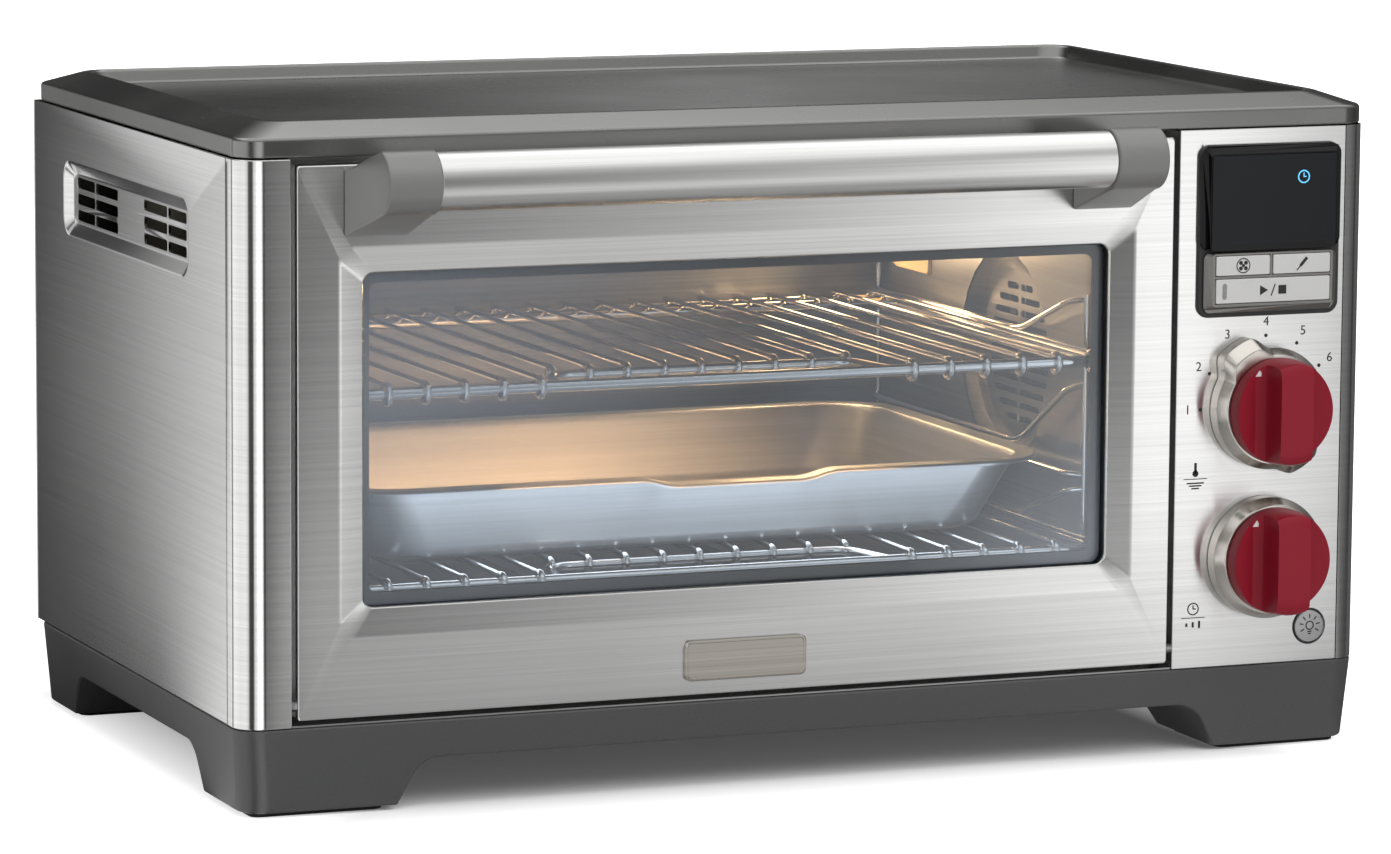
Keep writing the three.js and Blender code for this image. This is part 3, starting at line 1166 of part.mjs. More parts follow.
function controlPanel() {
  const outline = polygon([
    [PANEL_LEFT, 0], [PANEL_RIGHT, 0], [PANEL_RIGHT, 8 * SHEET], [PANEL_RIGHT - PANEL_SHEET, 8 * SHEET],
    [PANEL_RIGHT - PANEL_SHEET, PANEL_SHEET], [PANEL_LEFT + PANEL_SHEET, PANEL_SHEET],
    [PANEL_LEFT + PANEL_SHEET, RETURN_DEPTH], [PANEL_LEFT, RETURN_DEPTH],
  ]);
  const sheet = upright(outline, SHELL_BOTTOM, SHELL_TOP);
  const socket = fromFront(roundedShape(MODULE_LEFT + SOCKET - FIT, MODULE_RIGHT - SOCKET + FIT,
    MODULE_BOTTOM + SOCKET - FIT, MODULE_TOP - SOCKET + FIT, 2), -1, PANEL_SHEET + 1, 2);
  const holes = [
    barAlongY(CONTROL_X, UPPER_KNOB_Z, -1, PANEL_SHEET + 1, SLEEVE_RADIUS + RUNNING_GAP),
    barAlongY(CONTROL_X, LOWER_KNOB_Z, -1, PANEL_SHEET + 1, SHAFT_RADIUS + RUNNING_GAP),
    barAlongY(LIGHT_X, LIGHT_Z, -1, PANEL_SHEET + 1, LIGHT_BUTTON_RADIUS + RUNNING_GAP, 18),
    barAlongX(PANEL_LEFT - 1, PANEL_LEFT + PANEL_SHEET + 1, HINGE_Y, HINGE_Z, HINGE_PIN_RADIUS + FIT, 12),
  ];
  return cut(sheet, socket, ...holes);
}

add('control_panel', controlPanel(), brushedSteel);

function moduleOutline(inset, radius, bottom = MODULE_BOTTOM, top = MODULE_TOP) {
  return outlinePoints(MODULE_LEFT + inset, MODULE_RIGHT - inset, bottom + inset, top - inset, radius);
}

// Black tray behind the display and the buttons; it passes through the panel and seals the edge
function displayTray() {
  const front = -FIT - GASKET_RISE;
  const rim = loft([
    atDepth(moduleOutline(0, MODULE_RADIUS), -FIT),
    atDepth(moduleOutline(0, MODULE_RADIUS), -FIT - GASKET_RISE / 2),
    atDepth(moduleOutline(0.5, MODULE_RADIUS), front),
  ]);
  const neck = fromFront(roundedShape(MODULE_LEFT + SOCKET, MODULE_RIGHT - SOCKET, MODULE_BOTTOM + SOCKET,
    MODULE_TOP - SOCKET, 2), -FIT, MODULE_DEPTH, 2);
  const wall = SOCKET + MODULE_WALL;
  const inside = block(MODULE_LEFT + wall, MODULE_RIGHT - wall, PANEL_SHEET + MODULE_WALL, MODULE_DEPTH + 1,
    MODULE_BOTTOM + wall, MODULE_TOP - wall);
  return cut(join(rim, neck), inside);
}

add('display_tray', displayTray(), blackPlastic);

const MODULE_BACK = -FIT - GASKET_RISE - FIT;
const MODULE_FACE = MODULE_BACK - MODULE_RISE + GASKET_RISE;

add('display_lens', loft([
  atDepth(moduleOutline(0.5, MODULE_RADIUS - 1, KEY_TOP), MODULE_BACK),
  atDepth(moduleOutline(0.8, MODULE_RADIUS - 1, KEY_TOP - 0.3), MODULE_BACK - 0.8),
  atDepth(outlinePoints(MODULE_LEFT + MODULE_BEVEL, MODULE_RIGHT - MODULE_BEVEL, KEY_TOP + 0.5,
    MODULE_TOP - MODULE_BEVEL, 1), MODULE_FACE),
]), blackGloss);

const KEY_LEFT = MODULE_LEFT + SOCKET + KEY_BORDER;
const KEY_RIGHT = MODULE_RIGHT - SOCKET - KEY_BORDER;
const KEY_LOW = MODULE_BOTTOM + SOCKET + KEY_BORDER;
const KEY_HIGH = KEY_TOP - FIT - KEY_BORDER;
const KEY_SPLIT_Z = KEY_HIGH - KEY_UPPER_HEIGHT;
const KEY_SPLIT_X = (KEY_LEFT + KEY_RIGHT) / 2 - 1;
const KEY_FRONT = MODULE_FACE - KEY_PROUD;

function keyBlock() {
  const low = MODULE_BOTTOM + KEY_BLOCK_INSET;
  const top = KEY_TOP - FIT;
  const wide = (inset, bottomInset, radius) => outlinePoints(MODULE_LEFT + inset, MODULE_RIGHT - inset,
    low + bottomInset, top, radius);
  const body = loft([
    atDepth(wide(KEY_BLOCK_INSET, 0, 4), MODULE_BACK),
    atDepth(wide(SOCKET, KEY_BLOCK_BEVEL, 4), MODULE_FACE),
  ]);
  const pocket = (x0, x1, z0, z1) => block(x0, x1, MODULE_FACE - 1, MODULE_BACK - 1, z0, z1);
  return cut(body, pocket(KEY_LEFT, KEY_RIGHT, KEY_LOW, KEY_SPLIT_Z - KEY_GAP / 2 - FIT),
    pocket(KEY_LEFT, KEY_SPLIT_X - KEY_GAP / 2 - FIT, KEY_SPLIT_Z + KEY_GAP / 2 + FIT, KEY_HIGH),
    pocket(KEY_SPLIT_X + KEY_GAP / 2 + FIT, KEY_RIGHT, KEY_SPLIT_Z + KEY_GAP / 2 + FIT, KEY_HIGH));
}

add('key_block', keyBlock(), silverKey);

function key(x0, x1, z0, z1) {
  return fromFront(roundedShape(x0 + FIT, x1 - FIT, z0 + FIT, z1 - FIT, 0.8), KEY_FRONT,
    MODULE_BACK - 1 - KEY_TRAVEL - FIT, 2);
}

const upperKeys = [KEY_SPLIT_Z + KEY_GAP / 2 + FIT, KEY_HIGH];
add('fan_button', key(KEY_LEFT, KEY_SPLIT_X - KEY_GAP / 2 - FIT, ...upperKeys), silverKey);
add('probe_button', key(KEY_SPLIT_X + KEY_GAP / 2 + FIT, KEY_RIGHT, ...upperKeys), silverKey);
add('start_stop_button', key(KEY_LEFT, KEY_RIGHT, KEY_LOW, KEY_SPLIT_Z - KEY_GAP / 2 - FIT), silverKey);

add('light_button', turnedForward([
  [0, 1], [LIGHT_BUTTON_RADIUS - 0.6, 1], [LIGHT_BUTTON_RADIUS, 0.4], [LIGHT_BUTTON_RADIUS, -KEY_THICKNESS],
  [LIGHT_BUTTON_RADIUS + 2, -KEY_THICKNESS], [LIGHT_BUTTON_RADIUS + 2, -KEY_THICKNESS - 1.5],
  [0, -KEY_THICKNESS - 1.5],
], LIGHT_X, LIGHT_Z, 18), silverKey);

// ---------------------------------------------------------------- collars and knobs

// Outline of a round collar, raised over two opposite pointers
function pointerOutline(radius, rise, steps = 48) {
  const [flat, flank] = [LOBE_HALF_ANGLE - LOBE_FLANK, LOBE_HALF_ANGLE];
  return Array.from({ length: steps }, (_, i) => {
    const angle = 360 * i / steps;
    const off = Math.abs(((angle - LOBE_ANGLE) % 180 + 270) % 180 - 90);
    const share = THREE.MathUtils.smoothstep(flank - off, 0, flank - flat);
    const reach = radius + rise * share;
    const turn = THREE.MathUtils.degToRad(angle);
    return new THREE.Vector2(CONTROL_X + reach * Math.cos(turn), UPPER_KNOB_Z + reach * Math.sin(turn));
  });
}

function modeRing() {
  const body = loft([
    atDepth(pointerOutline(COLLAR_RADIUS, LOBE_RISE), -RUNNING_GAP),
    atDepth(pointerOutline(COLLAR_RADIUS, LOBE_RISE), -COLLAR_DEPTH + COLLAR_BEVEL),
    atDepth(pointerOutline(KNOB_RADIUS + 0.5, LOBE_RISE * 0.7), -COLLAR_DEPTH),
  ]);
  const sleeve = barAlongY(CONTROL_X, UPPER_KNOB_Z, -COLLAR_DEPTH / 2, PANEL_SHEET + 6, SLEEVE_RADIUS);
  const bore = barAlongY(CONTROL_X, UPPER_KNOB_Z, -COLLAR_DEPTH - 1, PANEL_SHEET + 7,
    SHAFT_RADIUS + RUNNING_GAP);
  return cut(join(body, sleeve), bore);
}

add('mode_ring', modeRing(), nickel);

add('time_collar', turnedForward([
  [SHAFT_RADIUS + RUNNING_GAP, FIT], [COLLAR_RADIUS, FIT], [COLLAR_RADIUS, COLLAR_DEPTH - COLLAR_BEVEL],
  [KNOB_RADIUS + 0.5, COLLAR_DEPTH], [SHAFT_RADIUS + RUNNING_GAP, COLLAR_DEPTH],
  [SHAFT_RADIUS + RUNNING_GAP, FIT],
], CONTROL_X, LOWER_KNOB_Z, 28), nickel);

// A knob with a round skirt and a raised bar across it, pushed onto the encoder's shaft
function knob(z) {
  const start = COLLAR_DEPTH + RUNNING_GAP;
  const crown = start + KNOB_DEPTH;
  const socket = SHAFT_RADIUS + RUNNING_GAP;
  const round = turnedForward([
    [0, start + SHAFT_GRIP + RUNNING_GAP], [socket, start + SHAFT_GRIP + RUNNING_GAP], [socket, start],
    [KNOB_RADIUS - 1, start], [KNOB_RADIUS, start + 1], [KNOB_RADIUS, start + KNOB_SKIRT],
    [KNOB_RADIUS - 1, crown - 3], [KNOB_RADIUS - 3, crown - 0.6], [0, crown],
  ], CONTROL_X, z, 28);
  const scoops = [-1, 1].map((side) => {
    const [near, far] = [side * GRIP_WIDTH / 2, side * (KNOB_RADIUS + 1)];
    const floor = -start - KNOB_SKIRT;
    const shape = new THREE.Shape();
    shape.moveTo(CONTROL_X + near - side * 1.2, -crown - 1);
    shape.lineTo(CONTROL_X + near, floor - 4);
    shape.quadraticCurveTo(CONTROL_X + near + side, floor + 0.5, CONTROL_X + near + side * 6, floor);
    shape.lineTo(CONTROL_X + far, floor + 1.5);
    shape.lineTo(CONTROL_X + far, -crown - 1);
    return upright(shape, z - KNOB_RADIUS - 1, z + KNOB_RADIUS + 1);
  });
  return cut(round, ...scoops);
}

add('temperature_knob', knob(UPPER_KNOB_Z), redPlastic);
add('time_knob', knob(LOWER_KNOB_Z), redPlastic);

// Encoders behind the panel, each with a shaft for its knob; the upper one also takes the ring's sleeve
function encoder(z, bore) {
  const [front, half] = [PANEL_SHEET + FIT, ENCODER_SIZE / 2];
  const body = block(CONTROL_X - half, CONTROL_X + half, front, front + ENCODER_DEPTH, z - half, z + half);
  const sleeve = barAlongY(CONTROL_X, z, front - 1, front + 6, bore, 12);
  const tip = -COLLAR_DEPTH - RUNNING_GAP - SHAFT_GRIP;
  const shaft = barAlongY(CONTROL_X, z, tip, front + 8, SHAFT_RADIUS, 10);
  return join(cut(body, sleeve), shaft);
}

add('dual_encoder', encoder(UPPER_KNOB_Z, SLEEVE_RADIUS + RUNNING_GAP), blackPlastic);
add('time_encoder', encoder(LOWER_KNOB_Z, SHAFT_RADIUS + RUNNING_GAP), blackPlastic);

// The circuit board stands behind the display tray, with its tall parts on the back
function controlBoard() {
  const [x0, y0] = [CONTROL_X - BOARD_WIDTH / 2, MODULE_DEPTH + FIT];
  const height = MODULE_TOP - MODULE_BOTTOM;
  const board = block(x0, x0 + BOARD_WIDTH, y0, y0 + BOARD_THICKNESS, MODULE_BOTTOM, MODULE_TOP);
  const seat = y0 + BOARD_THICKNESS / 2;
  // each part's left, right, lower and upper edge and depth, as shares of the board's own sizes
  const parts = [[0.1, 0.37, 0.67, 0.85, 0.6], [0.48, 0.7, 0.6, 0.85, 0.9], [0.14, 0.46, 0.2, 0.46, 1],
    [0.58, 0.83, 0.3, 0.44, 0.5]];
  return join(board, ...parts.map(([left, right, low, high, depth]) => block(
    x0 + left * BOARD_WIDTH, x0 + right * BOARD_WIDTH, seat, seat + depth * PART_DEPTH,
    MODULE_BOTTOM + low * height, MODULE_BOTTOM + high * height)));
}

add('control_board', controlBoard(), greenBoard);

// ---------------------------------------------------------------- origin

// The origin is under the middle of the whole oven, from the handle to the wall spacers
const FOREMOST = BAR_Y - CAP_RADIUS;
const REARMOST = BODY_DEPTH + SPACER_LENGTH;
oven.position.y = -(FOREMOST + REARMOST) / 2;

export default oven;
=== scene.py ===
"""Countertop toaster oven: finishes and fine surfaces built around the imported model."""
import math

import bmesh
import bpy
from mathutils import Matrix, Vector


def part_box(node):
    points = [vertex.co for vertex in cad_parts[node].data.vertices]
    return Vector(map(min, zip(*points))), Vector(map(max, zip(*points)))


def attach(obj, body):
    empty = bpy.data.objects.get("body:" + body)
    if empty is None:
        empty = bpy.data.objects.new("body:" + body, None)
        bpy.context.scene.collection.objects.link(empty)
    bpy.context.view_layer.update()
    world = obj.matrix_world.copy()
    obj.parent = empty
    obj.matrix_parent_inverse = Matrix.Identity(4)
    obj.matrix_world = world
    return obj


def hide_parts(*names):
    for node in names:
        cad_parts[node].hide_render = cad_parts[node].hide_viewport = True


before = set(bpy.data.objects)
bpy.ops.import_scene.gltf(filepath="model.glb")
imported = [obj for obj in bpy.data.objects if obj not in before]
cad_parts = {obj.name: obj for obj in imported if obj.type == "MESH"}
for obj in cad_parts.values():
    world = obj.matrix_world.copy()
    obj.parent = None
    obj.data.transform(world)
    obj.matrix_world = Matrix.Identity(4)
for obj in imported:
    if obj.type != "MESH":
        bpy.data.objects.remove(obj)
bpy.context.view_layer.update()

scene = bpy.context.scene
scene.view_settings.view_transform = "Standard"

# ------------------------------------------------------------------ studio
# The oven stands on a plain pale floor and is seen from its front left, a little from above, with a
# long lens.
CAMERA_PLACE = Vector((-1.166, -2.8495, 0.5838))
CAMERA_AZIMUTH = math.radians(-22.17)
CAMERA_ELEVATION = math.radians(8.04)
CAMERA_ROLL = math.radians(0.39)
CAMERA_LENS = 164.7


def placed(name, data):
    """A new object of the scene."""
    made = bpy.data.objects.new(name, data)
    scene.collection.objects.link(made)
    return made


camera_data = bpy.data.cameras.new("studio_camera")
camera_data.lens = CAMERA_LENS
camera_data.sensor_width = 36
camera_data.clip_start = 0.05
camera = placed("studio_camera", camera_data)
scene.camera = camera
level_turn = Matrix.Rotation(CAMERA_AZIMUTH, 4, "Z") @ Matrix.Rotation(math.pi / 2 - CAMERA_ELEVATION, 4, "X")
camera.matrix_world = Matrix.Translation(CAMERA_PLACE) @ level_turn @ Matrix.Rotation(CAMERA_ROLL, 4, "Z")


def fed(tree, value, socket):
    """Sets a socket to a number, or links another socket to it."""
    if isinstance(value, (int, float)):
        socket.default_value = value
    else:
        tree.links.new(value, socket)


def worked(tree, how, *values):
    """What a sum on numbers or sockets gives."""
    node = tree.nodes.new("ShaderNodeMath")
    node.operation = how
    for value, socket in zip(values, node.inputs):
        fed(tree, value, socket)
    return node.outputs[0]


def ranged(tree, value, low, high, from_low=0.0, from_high=1.0, clamp=True):
    """A value moved to another range."""
    node = tree.nodes.new("ShaderNodeMapRange")
    node.clamp = clamp
    for socket, number in (("From Min", from_low), ("From Max", from_high), ("To Min", low), ("To Max", high)):
        node.inputs[socket].default_value = number
    tree.links.new(value, node.inputs["Value"])
    return node.outputs["Result"]


def blended(tree, factor, first, second):
    """A value between two others."""
    mix = tree.nodes.new("ShaderNodeMix")
    tree.links.new(factor, mix.inputs["Factor"])
    fed(tree, first, mix.inputs["A"])
    fed(tree, second, mix.inputs["B"])
    return mix.outputs["Result"]


def mixed(tree, factor, first, second):
    """A shader between two others."""
    mix = tree.nodes.new("ShaderNodeMixShader")
    for value, socket in zip((factor, first, second), mix.inputs):
        tree.links.new(value, socket)
    return mix.outputs["Shader"]


def here(tree):
    """The place on the object."""
    return tree.nodes.new("ShaderNodeTexCoord").outputs["Object"]


def axes(tree, vector):
    """A vector's X, Y and Z."""
    node = tree.nodes.new("ShaderNodeSeparateXYZ")
    tree.links.new(vector, node.inputs["Vector"])
    return node.outputs


def mapped(tree, vector, change, amount):
    """A vector with a new location, rotation or scale."""
    node = tree.nodes.new("ShaderNodeMapping")
    node.inputs[change].default_value = amount
    tree.links.new(vector, node.inputs["Vector"])
    return node.outputs["Vector"]


def node_group(name, *outputs):
    """A shader group from a vector to plain values: its tree, its vector and its last sockets."""
    tree = bpy.data.node_groups.new(name, "ShaderNodeTree")
    tree.interface.new_socket(name="Vector", in_out="INPUT", socket_type="NodeSocketVector")
    for socket in outputs:
        tree.interface.new_socket(name=socket, in_out="OUTPUT", socket_type="NodeSocketFloat")
    return tree, tree.nodes.new("NodeGroupInput").outputs["Vector"], tree.nodes.new("NodeGroupOutput").inputs


def grouped(tree, group, vector):
    """What a shader group gives at a vector."""
    node = tree.nodes.new("ShaderNodeGroup")
    node.node_tree = group
    tree.links.new(vector, node.inputs["Vector"])
    return node.outputs


def bare_finish(name, color, roughness, metallic=0.0, **sockets):
    """A material whose shader has plain values on its sockets, its node tree and its shader."""
    made = bpy.data.materials.new(name)
    made.use_nodes = True
    shader = made.node_tree.nodes["Principled BSDF"]
    shader.inputs["Base Color"].default_value = (*color, 1)
    shader.inputs["Roughness"].default_value = roughness
    shader.inputs["Metallic"].default_value = metallic
    for socket, value in sockets.items():
        shader.inputs[socket.replace("_", " ")].default_value = value
    return made, made.node_tree, shader


# The world lights the oven evenly, and shows as plain white where it is seen or mirrored.
AMBIENT = 0.22
MIRRORED_SKY = 1.32
world = bpy.data.worlds.new("white_studio")
scene.world = world
world.use_nodes = True
tree = world.node_tree
rays = tree.nodes.new("ShaderNodeLightPath").outputs
mirrored = worked(tree, "MULTIPLY", rays["Is Glossy Ray"], (MIRRORED_SKY - AMBIENT) / (1 - AMBIENT))
any_seen = worked(tree, "MAXIMUM", rays["Is Camera Ray"], mirrored)
sky = tree.nodes["Background"]
tree.links.new(ranged(tree, any_seen, AMBIENT, 1, clamp=False), sky.inputs["Strength"])
sky.inputs["Color"].default_value = (1, 1, 1, 1)

# Two soft distant lamps; azimuth 0 shines along +Y, and 90 along -X.
for name, strength, azimuth, elevation, softness in (("key_lamp", 1.75, 24, 56, 60), ("fill_lamp", 0.45, 20, 20, 50)):
    lamp = bpy.data.lights.new(name, "SUN")
    lamp.energy = strength
    lamp.angle = math.radians(softness)
    lamp_object = placed(name, lamp)
    lamp_object.rotation_euler = (math.radians(90 - elevation), 0, math.radians(azimuth))
    lamp_object.visible_glossy = False

# Soft boxes and dark flags stand about the oven, on a round wall and on the floor beyond its shadow.
# Only their mirror images show: they give the metal its bright and dark bands.
FLAG_CENTRE = (-0.273, -0.132)
SIDE_BANDS = (          # heading in degrees from +X about the front left corner, and brightness
    (-180, 1.10), (-160, 1.15), (-149, 0.95), (-144, 0.60), (-141, 0.05), (-124, 0.05), (-120, 0.85),
    (-112, 1.10), (-106, 1.60), (-88, 1.60), (-84.5, 0.90), (-81.5, 0.10), (-78, 0.03), (-74.5, 0.05),
    (-50, 0.12), (34, 0.12), (48, 0.08), (61, 0.48), (70.5, 0.02), (98, 0.04),
    (104, 0.07), (105, 0.14), (106, 0.28), (107, 0.60), (107.8, 0.90), (110, 0.92), (115, 1.05),
    (120, 1.25), (124.5, 0.20), (130, 0.20), (137, 1.25), (180, 1.10),
)
FRONT_CENTRE = (-1.166, 2.56)
FRONT_BANDS = (         # the same for what the door and the panel mirror
    (-180, 0.9), (-80, 0.9), (-71.5, 0.11), (-70.5, 0.19), (-69.7, 0.27), (-67.7, 0.49), (-66.3, 0.72),
    (-65, 1.06), (-63.7, 1.49), (-62.9, 1.43), (-62.0, 1.20), (-61.6, 0.12), (-61.1, 0.12), (-60.7, 0.20),
    (-57, 0.20), (-51, 0.12), (180, 0.12),
)
DOOR_EDGE = (-71.9, -71.4)      # headings between which the front's bands begin
PANEL_EDGE = (-62.0, -61.4)     # and those between which they end
FRONT_LINE = (-0.16, -0.13)     # the same as depths on the floor
NEAR_LINE = (-1.35, -0.45)      # towards the oven the floor brightens for the door's foot
NEAR_LEVEL, NEAR_SHARE = 1.0, 0.92
CLOSE_LINE = (-0.47, -0.38)     # and close by it darkens again
CLOSE_SHARE = 0.38
BACK_LINE = (-0.2, 0.4)
ABOVE_FRONT = (0.45, 1.3, 1.12, 2.0)    # brightness from and to, over heights from and to
ABOVE_BACK = (0.04, 2.3, 1.25, 2.6)
WALL_RADIUS = 1.6
WALL_HEIGHT = 3.2
BANDS_TOP = 0.52
FADE_TOP = 0.92

tree, place, out = node_group("soft_box_bands", "Brightness")
studio_group = tree


def bands(centre, stops):
    """A brightness that depends on the heading from a centre, and that heading."""
    heading = tree.nodes.new("ShaderNodeTexGradient")
    heading.gradient_type = "RADIAL"
    ramp = tree.nodes.new("ShaderNodeValToRGB")
    elements = ramp.color_ramp.elements
    for turn, bright in stops[1:-1]:
        elements.new((turn + 180) / 360).color = (bright / 2, bright / 2, bright / 2, 1)
    for end in (0, -1):
        elements[end].color = (*[stops[end][1] / 2] * 3, 1)
    tree.links.new(mapped(tree, place, "Location", (-centre[0], -centre[1], 0)), heading.inputs["Vector"])
    tree.links.new(heading.outputs["Fac"], ramp.inputs["Fac"])
    return ranged(tree, ramp.outputs["Color"], 0, 4, 0, 2), ranged(tree, heading.outputs["Fac"], -180, 180)


side_part, _ = bands(FLAG_CENTRE, SIDE_BANDS)
front_part, front_turn = bands(FRONT_CENTRE, FRONT_BANDS)
_, depth, rise = axes(tree, place)
in_front = worked(tree, "MULTIPLY", ranged(tree, front_turn, 0, 1, *DOOR_EDGE),
    ranged(tree, depth, 1, 0, *FRONT_LINE))
level = blended(tree, in_front, side_part, front_part)
before_door = worked(tree, "MULTIPLY", in_front, ranged(tree, front_turn, 1, 0, *PANEL_EDGE))
near = worked(tree, "MULTIPLY", ranged(tree, depth, 0, NEAR_SHARE, *NEAR_LINE), before_door)
level = blended(tree, near, level, worked(tree, "MAXIMUM", level, NEAR_LEVEL))
close_by = worked(tree, "MULTIPLY", level, ranged(tree, depth, 1, CLOSE_SHARE, *CLOSE_LINE))
level = blended(tree, in_front, level, close_by)
above = blended(tree, ranged(tree, depth, 0, 1, *BACK_LINE), ranged(tree, rise, *ABOVE_FRONT),
    ranged(tree, rise, *ABOVE_BACK))
tree.links.new(blended(tree, ranged(tree, rise, 0, 1, BANDS_TOP, FADE_TOP), level, above), out["Brightness"])


def mirrored_bands(tree):
    """An emission that shows the soft boxes."""
    glow = tree.nodes.new("ShaderNodeEmission")
    tree.links.new(grouped(tree, studio_group, here(tree))["Brightness"], glow.inputs["Strength"])
    return glow.outputs["Emission"]


def meshed(name, bm):
    """An object of a bmesh, which is used up."""
    mesh = bpy.data.meshes.new(name)
    bm.to_mesh(mesh)
    bm.free()
    return placed(name, mesh)


# For the camera the floor glows beyond the oven's footprint and hardly under it: painted light round the oven, and
# painted shade under it over its real shadow.
FLOOR_LIFT = 0.98
FOOTPRINT = (0.285, 0.206)
SHADOW_INSIDE, SHADOW_OUTSIDE, SHADOW_LIFT = 0.075, 0.020, 0.06
floor_finish, tree, shader = bare_finish("pale_floor", (0.96, 0.96, 0.96), 0.9, Specular_IOR_Level=0.1)
rays = tree.nodes.new("ShaderNodeLightPath").outputs
beyond = [ranged(tree, worked(tree, "ABSOLUTE", off), SHADOW_LIFT, 1, reach - SHADOW_INSIDE, reach + SHADOW_OUTSIDE)
    for off, reach in zip(axes(tree, here(tree)), FOOTPRINT)]
lit = worked(tree, "MULTIPLY", worked(tree, "MAXIMUM", *beyond), rays["Is Camera Ray"])
lift = tree.nodes.new("ShaderNodeEmission")
tree.links.new(ranged(tree, lit, 0, FLOOR_LIFT), lift.inputs["Strength"])
lifted = tree.nodes.new("ShaderNodeAddShader")
tree.links.new(shader.outputs["BSDF"], lifted.inputs[0])
tree.links.new(lift.outputs["Emission"], lifted.inputs[1])
tree.links.new(mixed(tree, rays["Is Glossy Ray"], lifted.outputs["Shader"], mirrored_bands(tree)),
    tree.nodes["Material Output"].inputs["Surface"])
wall_finish, tree, shader = bare_finish("soft_boxes", (1, 1, 1), 1)
tree.nodes.remove(shader)
tree.links.new(mirrored_bands(tree), tree.nodes["Material Output"].inputs["Surface"])
floor_mesh, wall_mesh = bmesh.new(), bmesh.new()
bmesh.ops.create_grid(floor_mesh, x_segments=1, y_segments=1, size=30)
bmesh.ops.create_cone(wall_mesh, cap_ends=False, segments=96, radius1=WALL_RADIUS, radius2=WALL_RADIUS,
    depth=WALL_HEIGHT, matrix=Matrix.Translation((0, 0, WALL_HEIGHT / 2)))
for name, bm, finish in (("floor", floor_mesh, floor_finish), ("soft_box_wall", wall_mesh, wall_finish)):
    stage = meshed(name, bm)
    stage.data.materials.append(finish)
for view in ("camera", "diffuse", "transmission", "shadow"):
    setattr(stage, f"visible_{view}", False)

# ------------------------------------------------------------------ base moulding
# The oven stands on a die-cast base in dark grey satin paint. Four hollow legs flare into a band
# that carries the case, and the openings between them have round upper corners.
LEG_WIDTH = 0.077
FRONT_LEG_DEPTH = 0.064
REAR_LEG_DEPTH = 0.055
BASE_BAND = 0.0178
BASE_TAPER = 0.003
LEG_SLOPE = 0.011
LEG_FILLET = 0.009
CORNER_RADIUS = 0.0127
BASE_COLOR = (0.090, 0.090, 0.091)
PAST = 0.01             # how far a cutting shape runs past what it cuts
MERGE = 1e-6
AXES = {"XY": (0, 1, 2), "XZ": (0, 2, 1), "YZ": (1, 2, 0)}
PLANES = {"XY": lambda a, b, level: Vector((a, b, level)), "XZ": lambda a, b, level: Vector((a, level, b)),
    "YZ": lambda a, b, level: Vector((level, a, b))}


def in_turn(edges, centre):
    """A ring's edges in their order round its centre."""
    spots = [v.co for e in edges for v in e.verts]
    span = [max(s[i] for s in spots) - min(s[i] for s in spots) for i in range(3)]
    across, up = sorted(sorted(range(3), key=lambda i: span[i])[1:])

    def angle(edge):
        off = (edge.verts[0].co + edge.verts[1].co) / 2 - centre
        return (math.atan2(off[up], off[across]) + 0.05) % (2 * math.pi)
    return sorted(edges, key=angle)


def round_off(bm, corners, radius, steps):
    """Gives corners of a flat face a radius."""
    bmesh.ops.bevel(bm, geom=corners, offset=radius, segments=steps, profile=0.5, affect="VERTICES", material=-1)


def ring(bm, low, high, radius, level, plane="XZ", steps=6, inset=0.0):
    """The edges of a rectangle with round corners, moved in and drawn at one level of a plane."""
    left, bottom, right, top = low[0] + inset, low[1] + inset, high[0] - inset, high[1] - inset
    older = set(bm.edges)
    corners = [bm.verts.new(PLANES[plane](a, b, level))
        for a, b in ((left, bottom), (right, bottom), (right, top), (left, top))]
    centre = sum((corner.co for corner in corners), Vector()) / 4
    bm.faces.new(corners)
    round_off(bm, corners, radius, steps)
    edges = [e for e in bm.edges if e not in older]
    bmesh.ops.delete(bm, geom=list({f for e in edges for f in e.link_faces}), context="FACES_ONLY")
    return in_turn(edges, centre)


def skin(bm, rings, first=True, last=True):
    """A surface over a row of rings, closed at its first and last one where that is wanted."""
    for near, far in zip(rings, rings[1:]):
        for edge, partner in zip(near, far):
            bmesh.ops.contextual_create(bm, geom=[edge, partner])
    for wanted, edges in ((first, rings[0]), (last, rings[-1])):
        if wanted:
            bmesh.ops.contextual_create(bm, geom=edges)


def stacked(low, high, rows, plane="XZ", steps=6, first=True, last=True, bm=None):
    """A surface over rings in one rectangle; each row gives an inset, a corner radius and a level."""
    bm = bmesh.new() if bm is None else bm
    skin(bm, [ring(bm, low, high, radius, level, plane, steps, inset) for inset, radius, level in rows], first, last)
    return bm


def prism(points, level, depth, plane="XZ", rounded=None, steps=6, bm=None):
    """A straight-sided solid from an outline; rounded gives some of its corners a radius."""
    bm = bmesh.new() if bm is None else bm
    older = set(bm.faces)
    corners = [bm.verts.new(PLANES[plane](a, b, level)) for a, b in points]
    bm.faces.new(corners)
    for corner, radius in (rounded or {}).items():
        round_off(bm, [corners[corner]], radius, steps)
    faces = [f for f in bm.faces if f not in older]
    grown = bmesh.ops.extrude_face_region(bm, geom=faces, use_keep_orig=True)["geom"]
    bmesh.ops.translate(bm, verts=[v for v in grown if isinstance(v, bmesh.types.BMVert)],
        vec=PLANES[plane](0, 0, depth))
    return bm


def slab(low, high, level, depth, plane="XZ", radius=0.0, steps=3, bm=None):
    """A straight-sided solid from a rectangle, whose corners may have a radius."""
    return prism(((low[0], low[1]), (high[0], low[1]), (high[0], high[1]), (low[0], high[1])), level, depth, plane,
        {corner: radius for corner in range(4 if radius else 0)}, steps, bm)


